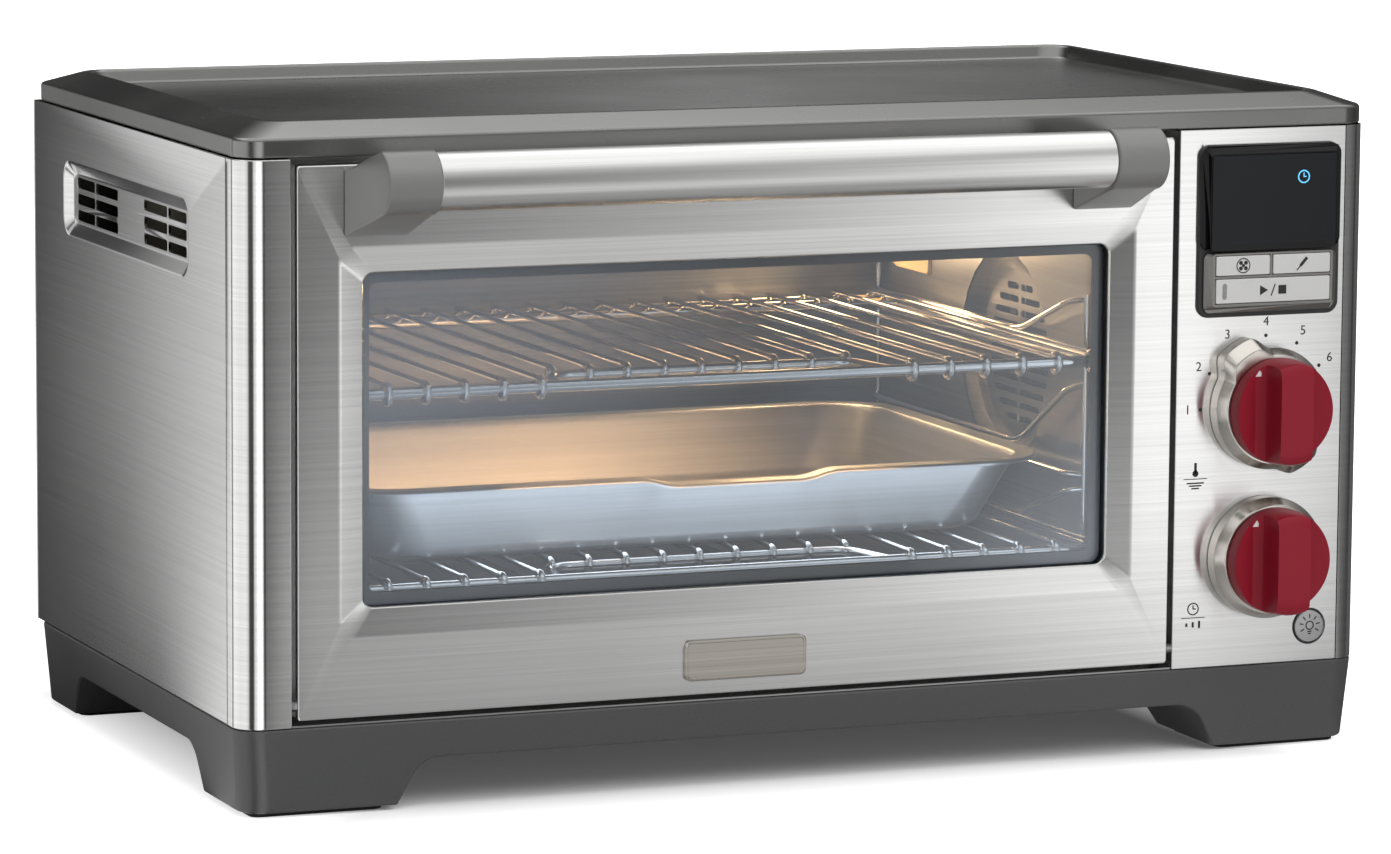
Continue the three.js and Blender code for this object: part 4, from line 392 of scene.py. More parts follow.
def put(name, bm, finish, body, slot, *nodes):
    """Makes a bmesh a piece of the oven: on its body, in place of its CAD nodes; its slot is not used."""
    bmesh.ops.remove_doubles(bm, verts=bm.verts, dist=MERGE)
    bmesh.ops.recalc_face_normals(bm, faces=bm.faces)
    made = meshed(name, bm)
    made.data.materials.append(finish)
    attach(made, body)
    if nodes:
        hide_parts(*nodes)
    return made


def block(name, node, plane, radius, finish, body, slot, steps=6):
    """A plain piece that fills a CAD node's box, with round corners in one plane."""
    low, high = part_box(node)
    a, b, c = AXES[plane]
    bm = stacked((low[a], low[b]), (high[a], high[b]), ((0, radius, low[c]), (0, radius, high[c])), plane, steps)
    return put(name, bm, finish, body, slot, node)


def settle(made):
    """Applies a piece's modifiers."""
    graph = bpy.context.evaluated_depsgraph_get()
    graph.update()
    mesh = bpy.data.meshes.new_from_object(made.evaluated_get(graph), depsgraph=graph)
    made.modifiers.clear()
    made.data = mesh


def carve(made, bm, how="DIFFERENCE"):
    """Cuts a piece with a closed shape, or joins the two."""
    bmesh.ops.recalc_face_normals(bm, faces=bm.faces)
    shape = meshed("tool_shape", bm)
    cutter = made.modifiers.new("cut", "BOOLEAN")
    cutter.operation = how
    cutter.object = shape
    settle(made)
    bpy.data.objects.remove(shape)


def soften(made, width=0.0, segments=2, angle=32):
    """Rounds a piece's sharp edges and shades its faces smoothly, with the flats kept flat."""
    if width:
        edges = made.modifiers.new("edges", "BEVEL")
        edges.width = width
        edges.segments = segments
        edges.limit_method = "ANGLE"
        edges.angle_limit = math.radians(angle)
        edges.harden_normals = False
        settle(made)
    made.data.shade_smooth()
    made.data.set_sharp_from_angle(angle=math.radians(50))
    flats = made.modifiers.new("flats", "WEIGHTED_NORMAL")
    flats.keep_sharp = True
    settle(made)


def noise_at(tree, scale, detail, stretch=(1, 1, 1), vector=None):
    """Noise over the object, or read from a vector, which is stretched first."""
    noise = tree.nodes.new("ShaderNodeTexNoise")
    noise.inputs["Scale"].default_value = scale
    noise.inputs["Detail"].default_value = detail
    tree.links.new(mapped(tree, here(tree) if vector is None else vector, "Scale", stretch), noise.inputs["Vector"])
    return noise.outputs["Fac"]


def tinted(tree, factor, dark, light):
    """A colour between two others."""
    mix = tree.nodes.new("ShaderNodeMix")
    mix.data_type = "RGBA"
    mix.inputs["A"].default_value = (*dark, 1)
    mix.inputs["B"].default_value = (*light, 1)
    tree.links.new(factor, mix.inputs["Factor"])
    return mix.outputs["Result"]


def bumped(tree, shader, height, strength, distance):
    """A bump from a height that feeds the shader's normal."""
    bump = tree.nodes.new("ShaderNodeBump")
    bump.inputs["Strength"].default_value = strength
    bump.inputs["Distance"].default_value = distance
    tree.links.new(height, bump.inputs["Height"])
    tree.links.new(bump.outputs["Normal"], shader.inputs["Normal"])


def polished(tree, shader, smudge, low, high):
    """A roughness that a smudge moves between two values."""
    tree.links.new(ranged(tree, smudge, low, high, 0.3, 0.7), shader.inputs["Roughness"])


# Metal flakes and the fine skin of sprayed paint or moulded plastic: a tone, and a height for a bump.
flake_group, place, out = node_group("paint_flakes", "Tone", "Height", "Smudge")
for socket, scale, detail in (("Tone", 2600, 2.0), ("Height", 900, 3.0), ("Smudge", 9, 4.0)):
    flake_group.links.new(noise_at(flake_group, scale, detail, vector=place), out[socket])


def sprayed(name, color, roughness, metallic=0.0, flake=0.12, skin_depth=0.00004, **sockets):
    """Sprayed paint or moulded plastic with its flakes, its fine skin and a faint unevenness."""
    made, tree, shader = bare_finish(name, color, roughness, metallic, **sockets)
    flecks = grouped(tree, flake_group, here(tree))
    dark = [c * (1 - flake) for c in color]
    light = [c * (1 + flake) for c in color]
    tree.links.new(tinted(tree, flecks["Tone"], dark, light), shader.inputs["Base Color"])
    polished(tree, shader, flecks["Smudge"], roughness - 0.05, roughness + 0.06)
    bumped(tree, shader, flecks["Height"], 0.5, skin_depth)
    return made


base_low, base_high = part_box("base_moulding")
base_paint = sprayed("dark_satin_paint", BASE_COLOR, 0.42, 0.35, flake=0.28, skin_depth=0.00006)
base = put("base_casting", stacked(base_low.xy, base_high.xy,
    ((BASE_TAPER, CORNER_RADIUS, base_low.z), (0, CORNER_RADIUS, base_high.z)), "XY"),
    base_paint, "case", "base_metal", "base_moulding")


def tunnel(left, right, start, end, plane):
    """Cuts the space between two legs: wider at the floor, round at the top."""
    top = base_high.z - BASE_BAND
    carve(base, prism(((left, base_low.z - PAST), (right, base_low.z - PAST), (right, base_low.z),
        (right - LEG_SLOPE, top), (left + LEG_SLOPE, top), (left, base_low.z)), start - PAST, end - start + 2 * PAST,
        plane, {3: LEG_FILLET, 4: LEG_FILLET}))


leg_inside = base_high.x - LEG_WIDTH
tunnel(-leg_inside, leg_inside, base_low.y, base_high.y, "XZ")
tunnel(base_low.y + FRONT_LEG_DEPTH, base_high.y - REAR_LEG_DEPTH, base_low.x, base_high.x, "YZ")
soften(base, 0.0011, 3)

# Four rubber pads are pressed into the legs and lift the base off the counter.
PAD_RADIUS = 0.005
rubber = sprayed("matt_rubber", (0.016, 0.016, 0.016), 0.85, flake=0.2, skin_depth=0.0002)
for end in ("front", "rear"):
    for side in ("left", "right"):
        soften(block(f"{end}_{side}_foot", f"{end}_{side}_pad", "XY", PAD_RADIUS, rubber, "case", "rubber"), 0.0004)

# ------------------------------------------------------------------ steel sides
# Each side is one sheet of brushed stainless steel that turns the front corner. The left one ends in
# a flange beside the door. A shallow dish with louvre slots is pressed into each side.
SHEET = 0.0012
RETURN_DEPTH = 0.015
VENT_LENGTH = 0.200
VENT_HEIGHT = 0.036
VENT_RADIUS = 0.010
VENT_SLOPE = 0.006
VENT_DEPTH = 0.0035
VENT_TOP_GAP = 0.025
VENT_CENTRE = 0.1745
VENT_MIDDLE = 0.021
VENT_INNER_SLOT = 0.036
VENT_OUTER_SLOT = 0.028
VENT_BAR = 0.002
VENT_SLOT = 0.0052
VENT_PITCH = 0.0079
SLOT_RADIUS = 0.0012
SEAM = 0.0012
SEAM_BACK = 0.0178

# Grain of brushed sheet: long level hairlines, and broader bands where the belt pressed harder.
grain_group, place, out = node_group("brushed_grain", "Hairlines", "Bands", "Smudge")
for socket, scale, detail, stretch in (("Hairlines", 1, 4.0, (9, 9, 3600)), ("Bands", 1, 3.0, (4, 4, 700)),
        ("Smudge", 7, 3.0, (1, 1, 1))):
    grain_group.links.new(noise_at(grain_group, scale, detail, stretch, place), out[socket])


def brushed(name, dark, light, roughness, anisotropy, depth):
    """Brushed metal whose grain runs level."""
    made, tree, shader = bare_finish(name, light, roughness, 1.0, Anisotropic=anisotropy, Anisotropic_Rotation=0.25)
    grain = grouped(tree, grain_group, here(tree))
    tone = ranged(tree, worked(tree, "ADD", grain["Hairlines"], grain["Bands"]), 0, 1, 0.7, 1.3)
    tree.links.new(tinted(tree, tone, dark, light), shader.inputs["Base Color"])
    polished(tree, shader, grain["Smudge"], roughness - 0.015, roughness + 0.02)
    bumped(tree, shader, grain["Hairlines"], 0.3, depth)
    return made


steel = brushed("brushed_stainless", (0.66, 0.66, 0.655), (0.76, 0.76, 0.755), 0.19, 1.0, 0.000004)
panel_low, panel_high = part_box("left_side_panel")
right_low, right_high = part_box("right_side_panel")
front_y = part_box("control_panel")[0].y
side_height = panel_high.z - panel_low.z
vent_top = panel_high.z - VENT_TOP_GAP
for side, outside, inward, edge in (("left", panel_low.x, 1, panel_high.x),
        ("right", right_high.x, -1, right_low.x)):
    step = inward * SHEET
    inner_radius = min(CORNER_RADIUS - SHEET, abs(edge - outside) - 2 * SHEET)
    bm = prism(((outside, panel_high.y), (outside, front_y), (edge, front_y), (edge, front_y + RETURN_DEPTH),
        (edge - step, front_y + RETURN_DEPTH), (edge - step, front_y + SHEET), (outside + step, front_y + SHEET),
        (outside + step, panel_high.y)), panel_low.z, side_height, "XY", {1: CORNER_RADIUS, 6: inner_radius}, 14)
    sheet = put(f"{side}_side_sheet", bm, steel, "case", "brushed_steel", f"{side}_side_panel")
    centre = front_y + VENT_CENTRE
    vent = ((centre - VENT_LENGTH / 2, vent_top - VENT_HEIGHT), (centre + VENT_LENGTH / 2, vent_top))
    for how, grow, narrow, start, depth in (("UNION", SHEET, SHEET - VENT_SLOPE, SHEET / 2, VENT_DEPTH + SHEET),
            ("DIFFERENCE", VENT_SLOPE, -VENT_SLOPE, -VENT_DEPTH, VENT_DEPTH)):
        carve(sheet, stacked(*vent, ((-grow, VENT_RADIUS + grow, outside + inward * start),
            (-narrow, VENT_RADIUS + narrow, outside + inward * depth)), "YZ", 8), how)
    soften(sheet, 0.0009, 3, 12)
    seam_y = front_y + SEAM_BACK
    carve(sheet, slab((outside - step, seam_y), (outside + inward * SEAM / 2, seam_y + SEAM), panel_low.z - PAST,
        side_height + 2 * PAST, "XY"))
    slots = bmesh.new()
    for row in (-1, 0, 1):
        z = vent_top - VENT_HEIGHT / 2 + row * VENT_PITCH
        outer = VENT_MIDDLE + VENT_INNER_SLOT + VENT_BAR
        for start, length in ((VENT_MIDDLE, VENT_INNER_SLOT), (outer, VENT_OUTER_SLOT)):
            for way in (-1, 1):
                near, far = sorted((centre + way * start, centre + way * (start + length)))
                slab((near, z - VENT_SLOT / 2), (far, z + VENT_SLOT / 2), outside - PAST, 2 * PAST, "YZ",
                    SLOT_RADIUS, bm=slots)
    carve(sheet, slots)
    soften(sheet, 0.0005, 3, 62)


def refinish(finish, *nodes):
    """Gives CAD nodes that keep their shape a finish."""
    for node in nodes:
        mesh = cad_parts[node].data
        mesh.materials.clear()
        mesh.materials.append(finish)


# The plate under the case and the back are plain sheet as it came from the mill.
mill_steel = brushed("mill_steel", (0.40, 0.40, 0.395), (0.52, 0.52, 0.515), 0.36, 0.2, 0.00001)
refinish(mill_steel, "bottom_plate", "back_panel", "front_frame", "left_hinge_block", "right_hinge_block")

# ------------------------------------------------------------------ top cover
# The cover is a deep pressing in graphite satin paint, which drops over the case. A sloping border
# runs up to a narrow crest round the sunken warming tray.
COVER_BAND = 0.009
COVER_BEVEL = 0.017
COVER_CREST = 0.003
TRAY_SLOPE = 0.0024
TRAY_DEPTH = 0.007
graphite_paint = sprayed("graphite_satin_paint", (0.225, 0.225, 0.220), 0.27, 0.92, flake=0.08, skin_depth=0.00002)
cover_low, cover_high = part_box("top_cover")
crest = COVER_BEVEL + COVER_CREST
bm = stacked(cover_low.xy, cover_high.xy, [(inset, CORNER_RADIUS, level) for inset, level in (
    (0, cover_low.z), (0, cover_low.z + COVER_BAND), (COVER_BEVEL, cover_high.z), (crest, cover_high.z),
    (crest + TRAY_SLOPE, cover_high.z - TRAY_DEPTH))], "XY", 10)
soften(put("cover_pressing", bm, graphite_paint, "case", "graphite", "top_cover"), 0.0014, 4, 12)

# ------------------------------------------------------------------ back of the case
# Two moulded spacers keep the back off the wall, and a bushing waits for the supply lead. They are
# black plastic, pushed into holes of the back sheet.
black_plastic = sprayed("black_moulding", (0.022, 0.022, 0.023), 0.45, flake=0.15, skin_depth=0.00008)


def turned(profile, centre, axis=(0, 1, 0), steps=48, bm=None):
    """A profile of (radius, distance along the axis) points spun into a closed shape."""
    bm = bmesh.new() if bm is None else bm
    along = Vector(axis)
    out = along.orthogonal().normalized()
    spots = [bm.verts.new(Vector(centre) + out * radius + along * level) for radius, level in profile]
    edges = [bm.edges.new(pair) for pair in zip(spots, spots[1:])]
    bmesh.ops.spin(bm, geom=spots + edges, cent=centre, axis=along, angle=2 * math.pi, steps=steps, use_merge=True)
    bmesh.ops.remove_doubles(bm, verts=bm.verts, dist=MERGE)
    return bm


def span(node):
    """A CAD node's box and the middle of it."""
    low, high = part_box(node)
    return low, high, (low + high) / 2


for side in ("left", "right"):
    low, high, middle = span(f"{side}_wall_spacer")
    foot, length = (high.x - low.x) / 2, high.y - low.y
    bm = turned(((0, 0), (foot, 0), (foot, 0.002), (foot * 0.7, 0.003), (foot * 0.62, 0.0045),
        (foot * 0.5, length - 0.002), (foot * 0.38, length), (0, length)), (middle.x, low.y, middle.z))
    soften(put(f"{side}_spacer_moulding", bm, black_plastic, "case", "black_plastic", f"{side}_wall_spacer"),
        0.0006, 3)

GLAND_HOLE = 0.004
GLAND_LIP = 0.002
GLAND_GROOVE = 0.0057
low, high, middle = span("cord_bushing")
lip = (high.x - low.x) / 2
bm = turned(((GLAND_HOLE, high.y), (lip - 0.004, high.y), (lip, high.y - GLAND_LIP), (lip, high.y - GLAND_GROOVE),
    (lip - 0.003, high.y - GLAND_GROOVE), (lip - 0.003, low.y), (GLAND_HOLE, low.y), (GLAND_HOLE, high.y)),
    (middle.x, 0, middle.z), steps=32)
soften(put("lead_bushing", bm, black_plastic, "case", "black_plastic", "cord_bushing"), 0.0005, 2)

# ------------------------------------------------------------------ cavity
# The cavity is a box of satin sheet steel behind a front frame, with a soft black seal that the door
# closes on and mineral wool round it.
liner_steel = brushed("satin_liner_steel", (0.20, 0.20, 0.205), (0.28, 0.28, 0.285), 0.30, 0.2, 0.000001)
refinish(liner_steel, "cavity_liner")
refinish(rubber, "door_seal")
refinish(sprayed("mineral_wool", (0.30, 0.27, 0.21), 0.95, flake=0.3, skin_depth=0.0006), "insulation_blanket")

# ------------------------------------------------------------------ heating elements
# Each element is one sheathed steel tube, bent in flat loops. Its surface is dull and a little
# darkened by heat.
LINER_SHEET = 0.0008
ELEMENT_FRONT_GAP = 0.060
ELEMENT_BEND = 0.018
ELEMENT_SWELL = 1.07
BEND_STEPS = 6


def rods(name, routes, radius, finish, body, slot, *nodes, sides=8):
    """Round rods along routes of points; a point with a fourth number is rounded to that radius."""
    curve = bpy.data.curves.new(name, "CURVE")
    curve.dimensions = "3D"
    curve.bevel_depth = radius
    curve.bevel_resolution = (sides - 4) // 2
    curve.use_fill_caps = True
    for route in routes:
        path = []
        for i, point in enumerate(route):
            spot = Vector(point[:3])
            if len(point) < 4:
                path.append(spot)
                continue
            start, stop = (spot + (Vector(beside[:3]) - spot).normalized() * point[3]
                for beside in (route[i - 1], route[i + 1]))
            for step in range(BEND_STEPS + 1):
                t = step / BEND_STEPS
                path.append(start * (1 - t) ** 2 + spot * 2 * t * (1 - t) + stop * t ** 2)
        spline = curve.splines.new("POLY")
        spline.points.add(len(path) - 1)
        for knot, spot in zip(spline.points, path):
            knot.co = (*spot, 1)
        spline.use_smooth = True
    drawn = placed(name, curve)
    mesh = bpy.data.meshes.new_from_object(drawn)
    bpy.data.objects.remove(drawn)
    bm = bmesh.new()
    bm.from_mesh(mesh)
    bpy.data.meshes.remove(mesh)
    made = put(name, bm, finish, body, slot, *nodes)
    made.data.shade_smooth()
    made.data.set_sharp_from_angle(angle=math.radians(60))


sheath = sprayed("heated_sheath", (0.17, 0.155, 0.14), 0.45, 0.8, flake=0.25, skin_depth=0.00005)
liner_low, liner_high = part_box("cavity_liner")
near = liner_low.y + ELEMENT_FRONT_GAP
far = liner_high.y - LINER_SHEET - ELEMENT_FRONT_GAP
for node in ("upper_heating_element", "lower_heating_element"):
    low, high, middle = span(node)
    radius = (high.z - low.z) / 2 * ELEMENT_SWELL
    left, right = low.x + radius, high.x - radius
    third = (right - left) / 3
    route = [(left, high.y, middle.z)]
    for i, level in enumerate((near, far, near)):
        route += [(left + end * third, level, middle.z, ELEMENT_BEND) for end in (i, i + 1)]
    route.append((right, high.y, middle.z))
    rods(node.replace("heating_element", "element_tube"), [route], radius, sheath, "case", "plain_steel", node,
        sides=12)

# ------------------------------------------------------------------ fan
# A round dish with two columns of slots is set into the right wall. The fan turns behind it, in a
# can with its motor outside the cavity.
DISH_FACE = 0.041
DISH_FLANGE = 0.005
DISH_DEPTH = 0.007
FAN_SLOT = 0.0034
FAN_PITCH = 0.0066
FAN_BAR = 0.0015
low, high, middle = span("fan_cover")
dish_reach = (high.z - low.z) / 2
mouth = dish_reach - DISH_FLANGE
face = low.x + DISH_DEPTH
bm = turned(((0, face), (DISH_FACE, face), (DISH_FACE + 0.003, face - 0.0007), (mouth - 0.0003, low.x),
    (dish_reach, low.x), (dish_reach, low.x + LINER_SHEET), (mouth, low.x + LINER_SHEET),
    (DISH_FACE, face + LINER_SHEET), (0, face + LINER_SHEET)), (0, middle.y, middle.z), (1, 0, 0), 64)
fan_grille = put("fan_grille", bm, liner_steel, "case", "cavity_steel", "fan_cover")
slots = bmesh.new()
reach = DISH_FACE - FAN_SLOT
for row in range(-6, 7):
    half = math.sqrt(max(0, reach ** 2 - (row * FAN_PITCH) ** 2)) - FAN_SLOT
    if half > 6 * FAN_BAR:
        z = middle.z + row * FAN_PITCH
        for near, far in ((middle.y - half, middle.y - FAN_BAR), (middle.y + FAN_BAR, middle.y + half)):
            slab((near, z - FAN_SLOT / 2), (far, z + FAN_SLOT / 2), face - PAST / 4, PAST / 2, "YZ",
                SLOT_RADIUS, 2, slots)
carve(fan_grille, slots)
soften(fan_grille, 0.0002, 1, 62)
refinish(mill_steel, "lamp_housing")
# The can and the fan behind the slots are dark: painted shade, so that the slots read dark.
refinish(sprayed("painted_shade_fan_sheet", (0.10, 0.095, 0.09), 0.5, 0.8, flake=0.2, skin_depth=0.00002), "fan_housing",
    "fan_impeller")
refinish(sprayed("motor_paint", (0.09, 0.09, 0.09), 0.5, 0.3), "fan_motor")

# ------------------------------------------------------------------ oven lamp and sensor
# A warm halogen bulb stands in a box behind a frosted heat-proof lens, high at the back of the right
# wall. The sensor is a thin plated rod on the back wall.
LAMP_WARMTH = (1.0, 0.64, 0.32)
PAN_WARMTH = (1.0, 0.54, 0.22)
DOOR_COOL = (0.86, 0.93, 1.0)
LENS_RADIUS = 0.003


def clouded(name, color, roughness, metallic, scale, detail, tones=None, socket="Base Color", polish=None,
        bump=None, **sockets):
    """A bare finish under one noise, which may move its colour or glow, its roughness and its height."""
    made, tree, shader = bare_finish(name, color, roughness, metallic, **sockets)
    noise = noise_at(tree, scale, detail)
    if tones:
        tree.links.new(tinted(tree, noise, *tones), shader.inputs[socket])
    if polish:
        polished(tree, shader, noise, *polish)
    if bump:
        bumped(tree, shader, noise, *bump)
    return made


lens_glass, tree, shader = bare_finish("lamp_lens_glass", (0.62, 0.46, 0.26), 0.30, Emission_Strength=0.10)
frost = noise_at(tree, 420, 2.0)
tree.links.new(tinted(tree, ranged(tree, frost, 0, 1, 0.3, 0.7), (1.0, 0.55, 0.22), (1.0, 0.70, 0.38)),
    shader.inputs["Emission Color"])
bumped(tree, shader, frost, 0.4, 0.0003)
soften(block("lamp_window", "lamp_lens", "YZ", LENS_RADIUS, lens_glass, "case", "lamp_glass"), 0.0008, 3)
refinish(clouded("bulb_glass", (1.0, 0.9, 0.7), 0.1, 0, 200, 2.0, ((1.0, 0.6, 0.3), (1.0, 0.75, 0.5)),
    "Emission Color", Emission_Strength=3.0), "lamp_bulb")


def area_lamp(name, spot, turn, axis, size, color, energy, spread):
    """A soft lamp inside the oven, seen only in mirror images; it shines down until it is turned."""
    lamp = bpy.data.lights.new(name, "AREA")
    lamp.shape = "RECTANGLE"
    lamp.size, lamp.size_y = size
    lamp.energy = energy
    lamp.color = color
    lamp.spread = math.radians(spread)
    lamp_object = placed(name, lamp)
    lamp_object.matrix_world = Matrix.Translation(spot) @ Matrix.Rotation(math.radians(turn), 4, axis)
    lamp_object.visible_camera = False
    lamp_object.visible_transmission = False
    return lamp_object


low, high, middle = span("lamp_lens")
pan_low, pan_high, pan_middle = span("baking_pan")
area_lamp("oven_lamp", (low.x - 0.004, middle.y, middle.z), 90, "Y", (high.y - low.y, high.z - low.z), LAMP_WARMTH,
    energy=0.55, spread=84)
area_lamp("lamp_spill", (high.x - 0.052, liner_high.y - 0.004, high.z - 0.008), -90, "X", (0.040, 0.030),
    LAMP_WARMTH, energy=0.30, spread=180)
pan_lamps = (
    area_lamp("pan_glow", (pan_middle.x, pan_low.y - 0.0196, pan_high.z + 0.027), 66, "X", (0.20, 0.024),
        PAN_WARMTH, energy=0.26, spread=64),
    area_lamp("door_glow", (pan_middle.x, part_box("inner_glass")[1].y + 0.002, pan_low.z), 90, "X", (0.42, 0.042),
        DOOR_COOL, energy=0.18, spread=110),
)

# ------------------------------------------------------------------ racks and their guides
# Each rack is welded from round steel rod and chromed. Thin wires are hooked over a thick front rail,
# and nine of them stop at a set-back rod for the hand. The racks slide on wire ladders on the walls.
RACK_WIRES = 21
GRIP_WIRES = 9
WIRE = 0.0013
HOOK = 0.0017
RAIL = 0.0028
SIDE_RAIL = 0.0022
GRIP_ROD = 0.0024
SIDE_RAIL_OUT = 0.004
RACK_DROP = 0.00085
GRIP_SETBACK = 0.036
GRIP_BEND = 0.008

chrome = clouded("bright_chrome", (0.80, 0.80, 0.80), 0.05, 1.0, 60, 4.0,
    ((0.70, 0.69, 0.67), (0.84, 0.84, 0.83)), polish=(0.03, 0.09))
refinish(chrome, "temperature_sensor")


def circle_at(bm, centre, radius, steps):
    """A circle that faces along Y."""
    return bmesh.ops.create_circle(bm, segments=steps, radius=radius, cap_ends=False,
        matrix=Matrix.Translation(centre) @ Matrix.Rotation(math.pi / 2, 4, "X"))["verts"]


planes = {}
for node in ("upper_rack", "lower_rack"):
    low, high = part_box(node)
    front_rail = low.y + WIRE * 2 + RAIL
    rear_rail = high.y - RAIL
    plane = planes[node] = high.z - WIRE * 2 - RAIL + RACK_DROP
    left, right = low.x + SIDE_RAIL, high.x - SIDE_RAIL
    pitch = (right - left - 2 * SIDE_RAIL_OUT) / (RACK_WIRES - 1)
    wire_z = plane + RAIL + WIRE - 0.0002
    hook = RAIL + WIRE
    first = (RACK_WIRES - GRIP_WIRES) // 2
    last = first + GRIP_WIRES - 1
    thin = []
    bm = bmesh.new()
    for i in range(RACK_WIRES):
        gripped = first <= i <= last
        x = left + SIDE_RAIL_OUT + i * pitch
        y = front_rail + (GRIP_SETBACK if gripped else 0)
        thin.append([(x, high.y, wire_z), (x, y - hook, wire_z, 0.0035), (x, y - hook, plane - hook * 0.75, 0.0030),
            (x, y + RAIL * 0.3, plane - hook * 0.95)])
        around = (GRIP_ROD if gripped else RAIL) + HOOK * 0.8
        circle = circle_at(bm, (x, y, plane + around), HOOK, 10)
        edges = list({e for v in circle for e in v.link_edges})
        bmesh.ops.spin(bm, geom=circle + edges, cent=(x, y, plane), axis=(1, 0, 0), angle=2 * math.pi, steps=24,
            use_merge=True)
    rods(f"{node}_wires", thin, WIRE, chrome, node, "chrome", node)
    put(f"{node}_hooks", bm, chrome, node, "chrome", node).data.shade_smooth()
    grip_left = left + SIDE_RAIL_OUT + (first - 0.5) * pitch
    grip_right = left + SIDE_RAIL_OUT + (last + 0.5) * pitch
    grip_y = front_rail + GRIP_SETBACK
    rods(f"{node}_hand_hold", [[(grip_left, front_rail, plane), (grip_left + GRIP_BEND, grip_y, plane, 0.012),
        (grip_right - GRIP_BEND, grip_y, plane, 0.012), (grip_right, front_rail, plane)]],
        GRIP_ROD, chrome, node, "chrome", node, sides=12)
    rods(f"{node}_cross_rails", [[(left, y, plane), (right, y, plane)]
        for y in (front_rail, rear_rail - pitch, rear_rail)], RAIL, chrome, node, "chrome", node, sides=12)
    rods(f"{node}_side_rails", [[(x, front_rail, plane), (x, rear_rail, plane)] for x in (left, right)],
        SIDE_RAIL, chrome, node, "chrome", node, sides=12)

GUIDE_WIRE = 0.0016
GUIDE_OFF_WALL = 0.0027
GUIDE_CRANK = 0.010
GUIDE_RISES = (0.020, 0.036, 0.022)
GUIDE_BEND_BACK = 0.064
GUIDE_MIDDLE = 0.0355
RUNNING_GAP = 0.0005
levels = (planes["lower_rack"], planes["lower_rack"] + GUIDE_MIDDLE, planes["upper_rack"])
for side, way in (("left", -1), ("right", 1)):
    node = f"{side}_rack_guide"
    low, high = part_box(node)
    wall, inner_end = (low.x, high.x) if way < 0 else (high.x, low.x)
    x = wall - way * GUIDE_OFF_WALL
    inner = inner_end + way * WIRE * 0.75
    front, back = low.y + WIRE * 1.3, high.y - WIRE * 1.3
    routes = []
    for y in (front, back):
        routes.append([(x, y, low.z), (x, y, high.z)])
        routes += [[(x, y, z), (wall, y, z)] for z in (low.z + 0.002, high.z - 0.002)]
    for plane, rise in zip(levels, GUIDE_RISES):
        rest = plane - RAIL - WIRE - 0.0001
        over = plane + RAIL + WIRE + RUNNING_GAP
        routes.append([(x, front, rest), (inner, front + GUIDE_CRANK, rest, 0.004),
            (inner, back - GUIDE_CRANK, rest, 0.004), (x, back, rest)])
        routes.append([(x, front, over + rise), (inner, front + GUIDE_CRANK, over + rise * 0.9, 0.006),
            (inner, front + GUIDE_BEND_BACK, over, 0.010), (inner, back - GUIDE_CRANK, over, 0.004), (x, back, over)])
    rods(f"{node}_wires", routes, GUIDE_WIRE, chrome, "case", "chrome", node)

# ------------------------------------------------------------------ baking pan and crumb tray
# The pan is drawn from satin steel sheet, with a broad flat rim that dips in the middle of its front
# for the fingers. The crumb tray under it is a shallow folded sheet.
PAN_SHEET = 0.0009
PAN_RIM = 0.011
PAN_TAPER = 0.012
PAN_RADIUS = 0.038
PAN_GRIP = 0.100
PAN_DIP = 0.0035
PAN_DIP_RIGHT = 0.016
DIP_SLOPE = 0.18
pan_steel = brushed("satin_pan_steel", (0.58, 0.60, 0.62), (0.70, 0.72, 0.74), 0.38, 0.15, 0.000002)


def eased(share):
    """A share from 0 to 1 that starts and ends gently."""
    return share * share * (3 - 2 * share)


def thicken(made, thickness):
    """Gives an open sheet its thickness, behind its drawn side."""
    sheet = made.modifiers.new("sheet", "SOLIDIFY")
    sheet.thickness = thickness
    sheet.offset = -1
    settle(made)


foot = PAN_RIM + PAN_TAPER
bm = stacked(pan_low.xy, pan_high.xy, [(inset, PAN_RADIUS - tighter, level) for inset, tighter, level in (
    (0.0004, 0, pan_high.z - 0.0022), (0, 0, pan_high.z - 0.0012), (0.0006, 0, pan_high.z - 0.0003),
    (0.002, 0.002, pan_high.z), (PAN_RIM - 0.001, PAN_RIM, pan_high.z),
    (PAN_RIM + 0.0005, PAN_RIM + 0.0005, pan_high.z - 0.0008),
    (PAN_RIM + 0.0016, PAN_RIM + 0.0016, pan_high.z - 0.0035), (foot, foot - 0.014, pan_low.z + 0.007),
    (foot + 0.002, foot - 0.012, pan_low.z + 0.0035), (foot + 0.0055, foot - 0.010, pan_low.z + 0.0015),
    (foot + 0.010, foot - 0.008, pan_low.z + 0.0012))], "XY", 12, first=False)
bmesh.ops.remove_doubles(bm, verts=bm.verts, dist=MERGE)
dip_middle = pan_middle.x + PAN_DIP_RIGHT
for edge in (-0.5, -0.44, -0.38, -0.32, 0.32, 0.38, 0.44, 0.5):
    bmesh.ops.bisect_plane(bm, geom=list(bm.verts) + list(bm.edges) + list(bm.faces), dist=1e-7,
        plane_co=(dip_middle + edge * PAN_GRIP, 0, 0), plane_no=(1, 0, 0))
for vert in bm.verts:
    off = abs(vert.co.x - dip_middle) / PAN_GRIP
    on_rim = vert.co.y < pan_low.y + PAN_RIM + 0.001 and vert.co.z > pan_high.z - 0.003
    if on_rim and off < 0.499:
        vert.co.z -= PAN_DIP * eased(min(1, (0.5 - off) / DIP_SLOPE))
pan = put("pan_drawn_sheet", bm, pan_steel, "lower_rack", "pan_steel", "baking_pan")
thicken(pan, PAN_SHEET)
soften(pan)
in_pan = bpy.data.collections.new("lit_by_pan_lamps")
in_pan.objects.link(pan)
